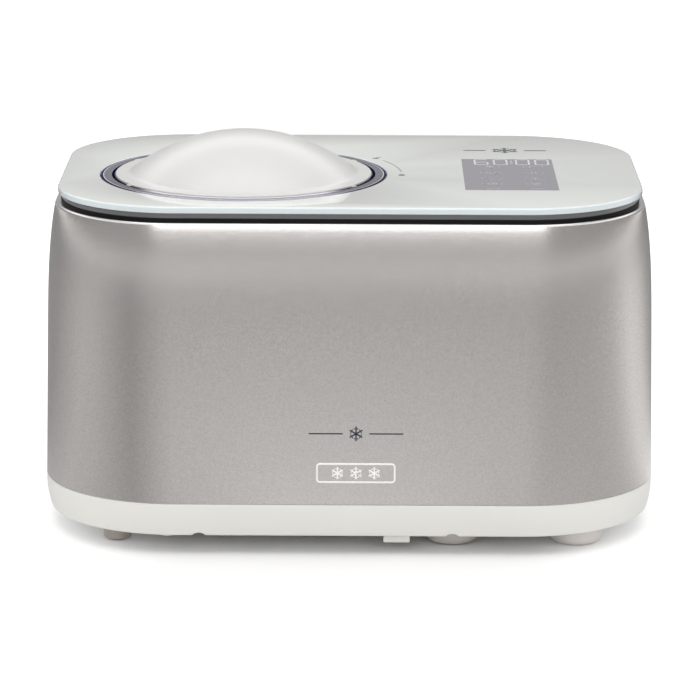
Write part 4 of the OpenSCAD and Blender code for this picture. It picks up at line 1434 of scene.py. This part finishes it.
def build_stage():
    """Pale floor with painted light lifting its shadows, soft studio light and the camera."""
    s = bpy.context.scene.ice_stage
    bpy.context.scene.view_settings.view_transform = "Standard"
    floor = mesh_object(
        "floor", lambda b: bmesh.ops.create_grid(b, x_segments=1, y_segments=1, size=8.0), outward=False
    )
    white = (0.95, 0.95, 0.95)
    pale = finish("pale_floor_painted_light", white, 0.9, tone=0.002, grain=(50.0, 0.0), Specular_IOR_Level=0.1)
    shader = pale.node_tree.nodes["Principled BSDF"]
    # Painted light: the floor glows faint blue, more far off so the distant floor stays white, and more
    # beside the body's left and right ends, where it lightens and blues the shadow.
    shader.inputs["Emission Color"].default_value = (0.97, 0.98, 1, 1)
    tree = pale.node_tree
    place = object_place(tree)
    far = vector_node(tree, "LENGTH", i0=place).outputs["Value"]
    beside = math_node(tree, "ABSOLUTE", add_node(tree, "ShaderNodeSeparateXYZ", Vector=place).outputs["X"])
    glow = math_node(tree, "ADD", fade_in(tree, far, 0.6, 3.0, 0.16), fade_in(tree, beside, 0.11, 0.24, 0.27))
    tree.links.new(glow, shader.inputs["Emission Strength"])
    floor.data.materials.append(pale)
    grey_surround()

    world = bpy.data.worlds.new("studio")
    world.use_nodes = True
    tree = world.node_tree
    aim = add_node(tree, "ShaderNodeTexCoord").outputs["Generated"]
    up = add_node(tree, "ShaderNodeSeparateXYZ", Vector=aim).outputs["Z"]
    rise = math_node(tree, "POWER", math_node(tree, "MAXIMUM", up, 0.0), 1.5)
    glow = math_node(tree, "MULTIPLY_ADD", rise, 0.87, 0.36)
    path = add_node(tree, "ShaderNodeLightPath")
    ring = math_node(tree, "SUBTRACT", fade_in(tree, up, 0.38, 0.45), fade_in(tree, up, 0.6, 0.7))
    mirrored = math_node(tree, "MULTIPLY", ring, path.outputs["Is Glossy Ray"])
    glow = math_node(tree, "MULTIPLY_ADD", mirrored, 1.0, glow)
    strength = math_node(tree, "MAXIMUM", glow, path.outputs["Is Camera Ray"])
    tree.nodes["Background"].inputs["Color"].default_value = (1, 1, 1, 1)
    tree.links.new(strength, tree.nodes["Background"].inputs["Strength"])
    bpy.context.scene.world = world
    area_light("top_softbox", (0, -0.25, 2.2), (0, 0, 0.1), (2.2, 1.7), 1.2)
    area_light("front_softbox", (0, -6.4, 2.64), (0, 0, 0.2), (5.4, 2.6), 2.28)

    data = bpy.data.cameras.new("camera")
    data.lens = s.lens
    data.sensor_width = 36
    data.clip_start = 0.05
    data.clip_end = 50
    camera = bpy.data.objects.new("camera", data)
    camera.matrix_world = (
        Matrix.Translation(s.camera)
        @ Matrix.Rotation(s.turn, 4, "Z")
        @ Matrix.Rotation(math.pi / 2 - s.pitch, 4, "X")
        @ Matrix.Rotation(s.roll, 4, "Z")
    )
    bpy.context.scene.collection.objects.link(camera)
    bpy.context.scene.camera = camera


# ---- Operators, panel and registration ----


class ICE_OT_casing(bpy.types.Operator):
    """Build the metal casing"""

    bl_idname = "ice.casing"
    bl_label = "Casing"

    def execute(self, context):
        build_casing()
        return {"FINISHED"}


class ICE_OT_base(bpy.types.Operator):
    """Build the white base"""

    bl_idname = "ice.base"
    bl_label = "Base"

    def execute(self, context):
        build_base()
        return {"FINISHED"}


class ICE_OT_feet(bpy.types.Operator):
    """Build the feet"""

    bl_idname = "ice.feet"
    bl_label = "Feet"

    def execute(self, context):
        build_feet()
        return {"FINISHED"}


class ICE_OT_band(bpy.types.Operator):
    """Build the frame and trim under the glass"""

    bl_idname = "ice.band"
    bl_label = "Top Band"

    def execute(self, context):
        build_band()
        return {"FINISHED"}


class ICE_OT_glass(bpy.types.Operator):
    """Build the glass top"""

    bl_idname = "ice.glass"
    bl_label = "Glass Top"

    def execute(self, context):
        build_glass()
        return {"FINISHED"}


class ICE_OT_display(bpy.types.Operator):
    """Build the display window with its digits and symbols"""

    bl_idname = "ice.display"
    bl_label = "Display"

    def execute(self, context):
        build_display()
        return {"FINISHED"}


class ICE_OT_marks(bpy.types.Operator):
    """Print the plain marks on the glass and the front"""

    bl_idname = "ice.marks"
    bl_label = "Printed Marks"

    def execute(self, context):
        build_marks()
        return {"FINISHED"}


class ICE_OT_badge(bpy.types.Operator):
    """Build the raised badge"""

    bl_idname = "ice.badge"
    bl_label = "Badge"

    def execute(self, context):
        build_badge()
        return {"FINISHED"}


class ICE_OT_back(bpy.types.Operator):
    """Build the vent panel and the cord bush"""

    bl_idname = "ice.back"
    bl_label = "Back Fittings"

    def execute(self, context):
        build_grille()
        build_gland()
        return {"FINISHED"}


class ICE_OT_lid(bpy.types.Operator):
    """Build the lid"""

    bl_idname = "ice.lid"
    bl_label = "Lid"

    def execute(self, context):
        build_lid()
        return {"FINISHED"}


class ICE_OT_bowl(bpy.types.Operator):
    """Build the lift-out bowl"""

    bl_idname = "ice.bowl"
    bl_label = "Bowl"

    def execute(self, context):
        build_bowl()
        return {"FINISHED"}


class ICE_OT_inside(bpy.types.Operator):
    """Give the inner parts their finishes"""

    bl_idname = "ice.inside"
    bl_label = "Inner Finishes"

    def execute(self, context):
        dress_inside()
        return {"FINISHED"}


class ICE_OT_stage(bpy.types.Operator):
    """Set up the floor, lights and camera"""

    bl_idname = "ice.stage"
    bl_label = "Stage"

    def execute(self, context):
        build_stage()
        return {"FINISHED"}


class ICE_PT_panel(bpy.types.Panel):
    """Sizes, colours and building steps"""

    bl_idname = "ICE_PT_panel"
    bl_label = "Ice Cream Maker"
    bl_space_type = "VIEW_3D"
    bl_region_type = "UI"
    bl_category = "Ice Cream Maker"

    def draw(self, context):
        for label, settings in (
            ("Body", context.scene.ice_body),
            ("Top and lid", context.scene.ice_top),
            ("Stage", context.scene.ice_stage),
        ):
            box = self.layout.box()
            box.label(text=label)
            for name in settings.bl_rna.properties.keys():
                if name not in {"rna_type", "name"}:
                    box.prop(settings, name)
        for operator in OPERATORS:
            self.layout.operator(operator.bl_idname)


SETTINGS = {"ice_body": BodySettings, "ice_top": TopSettings, "ice_stage": StageSettings}
OPERATORS = (
    ICE_OT_casing,
    ICE_OT_base,
    ICE_OT_feet,
    ICE_OT_band,
    ICE_OT_glass,
    ICE_OT_display,
    ICE_OT_marks,
    ICE_OT_badge,
    ICE_OT_back,
    ICE_OT_lid,
    ICE_OT_bowl,
    ICE_OT_inside,
    ICE_OT_stage,
)


def register():
    """Registers the classes and hangs the settings on the scene."""
    for name, kind in SETTINGS.items():
        bpy.utils.register_class(kind)
        setattr(bpy.types.Scene, name, bpy.props.PointerProperty(type=kind))
    for kind in (*OPERATORS, ICE_PT_panel):
        bpy.utils.register_class(kind)


def unregister():
    """Takes the classes and settings away again."""
    for kind in reversed((*OPERATORS, ICE_PT_panel)):
        bpy.utils.unregister_class(kind)
    for name, kind in SETTINGS.items():
        delattr(bpy.types.Scene, name)
        bpy.utils.unregister_class(kind)


def main():
    register()
    for operator in OPERATORS:
        getattr(bpy.ops.ice, operator.bl_idname.split(".")[1])()


if __name__ == "__main__":
    main()
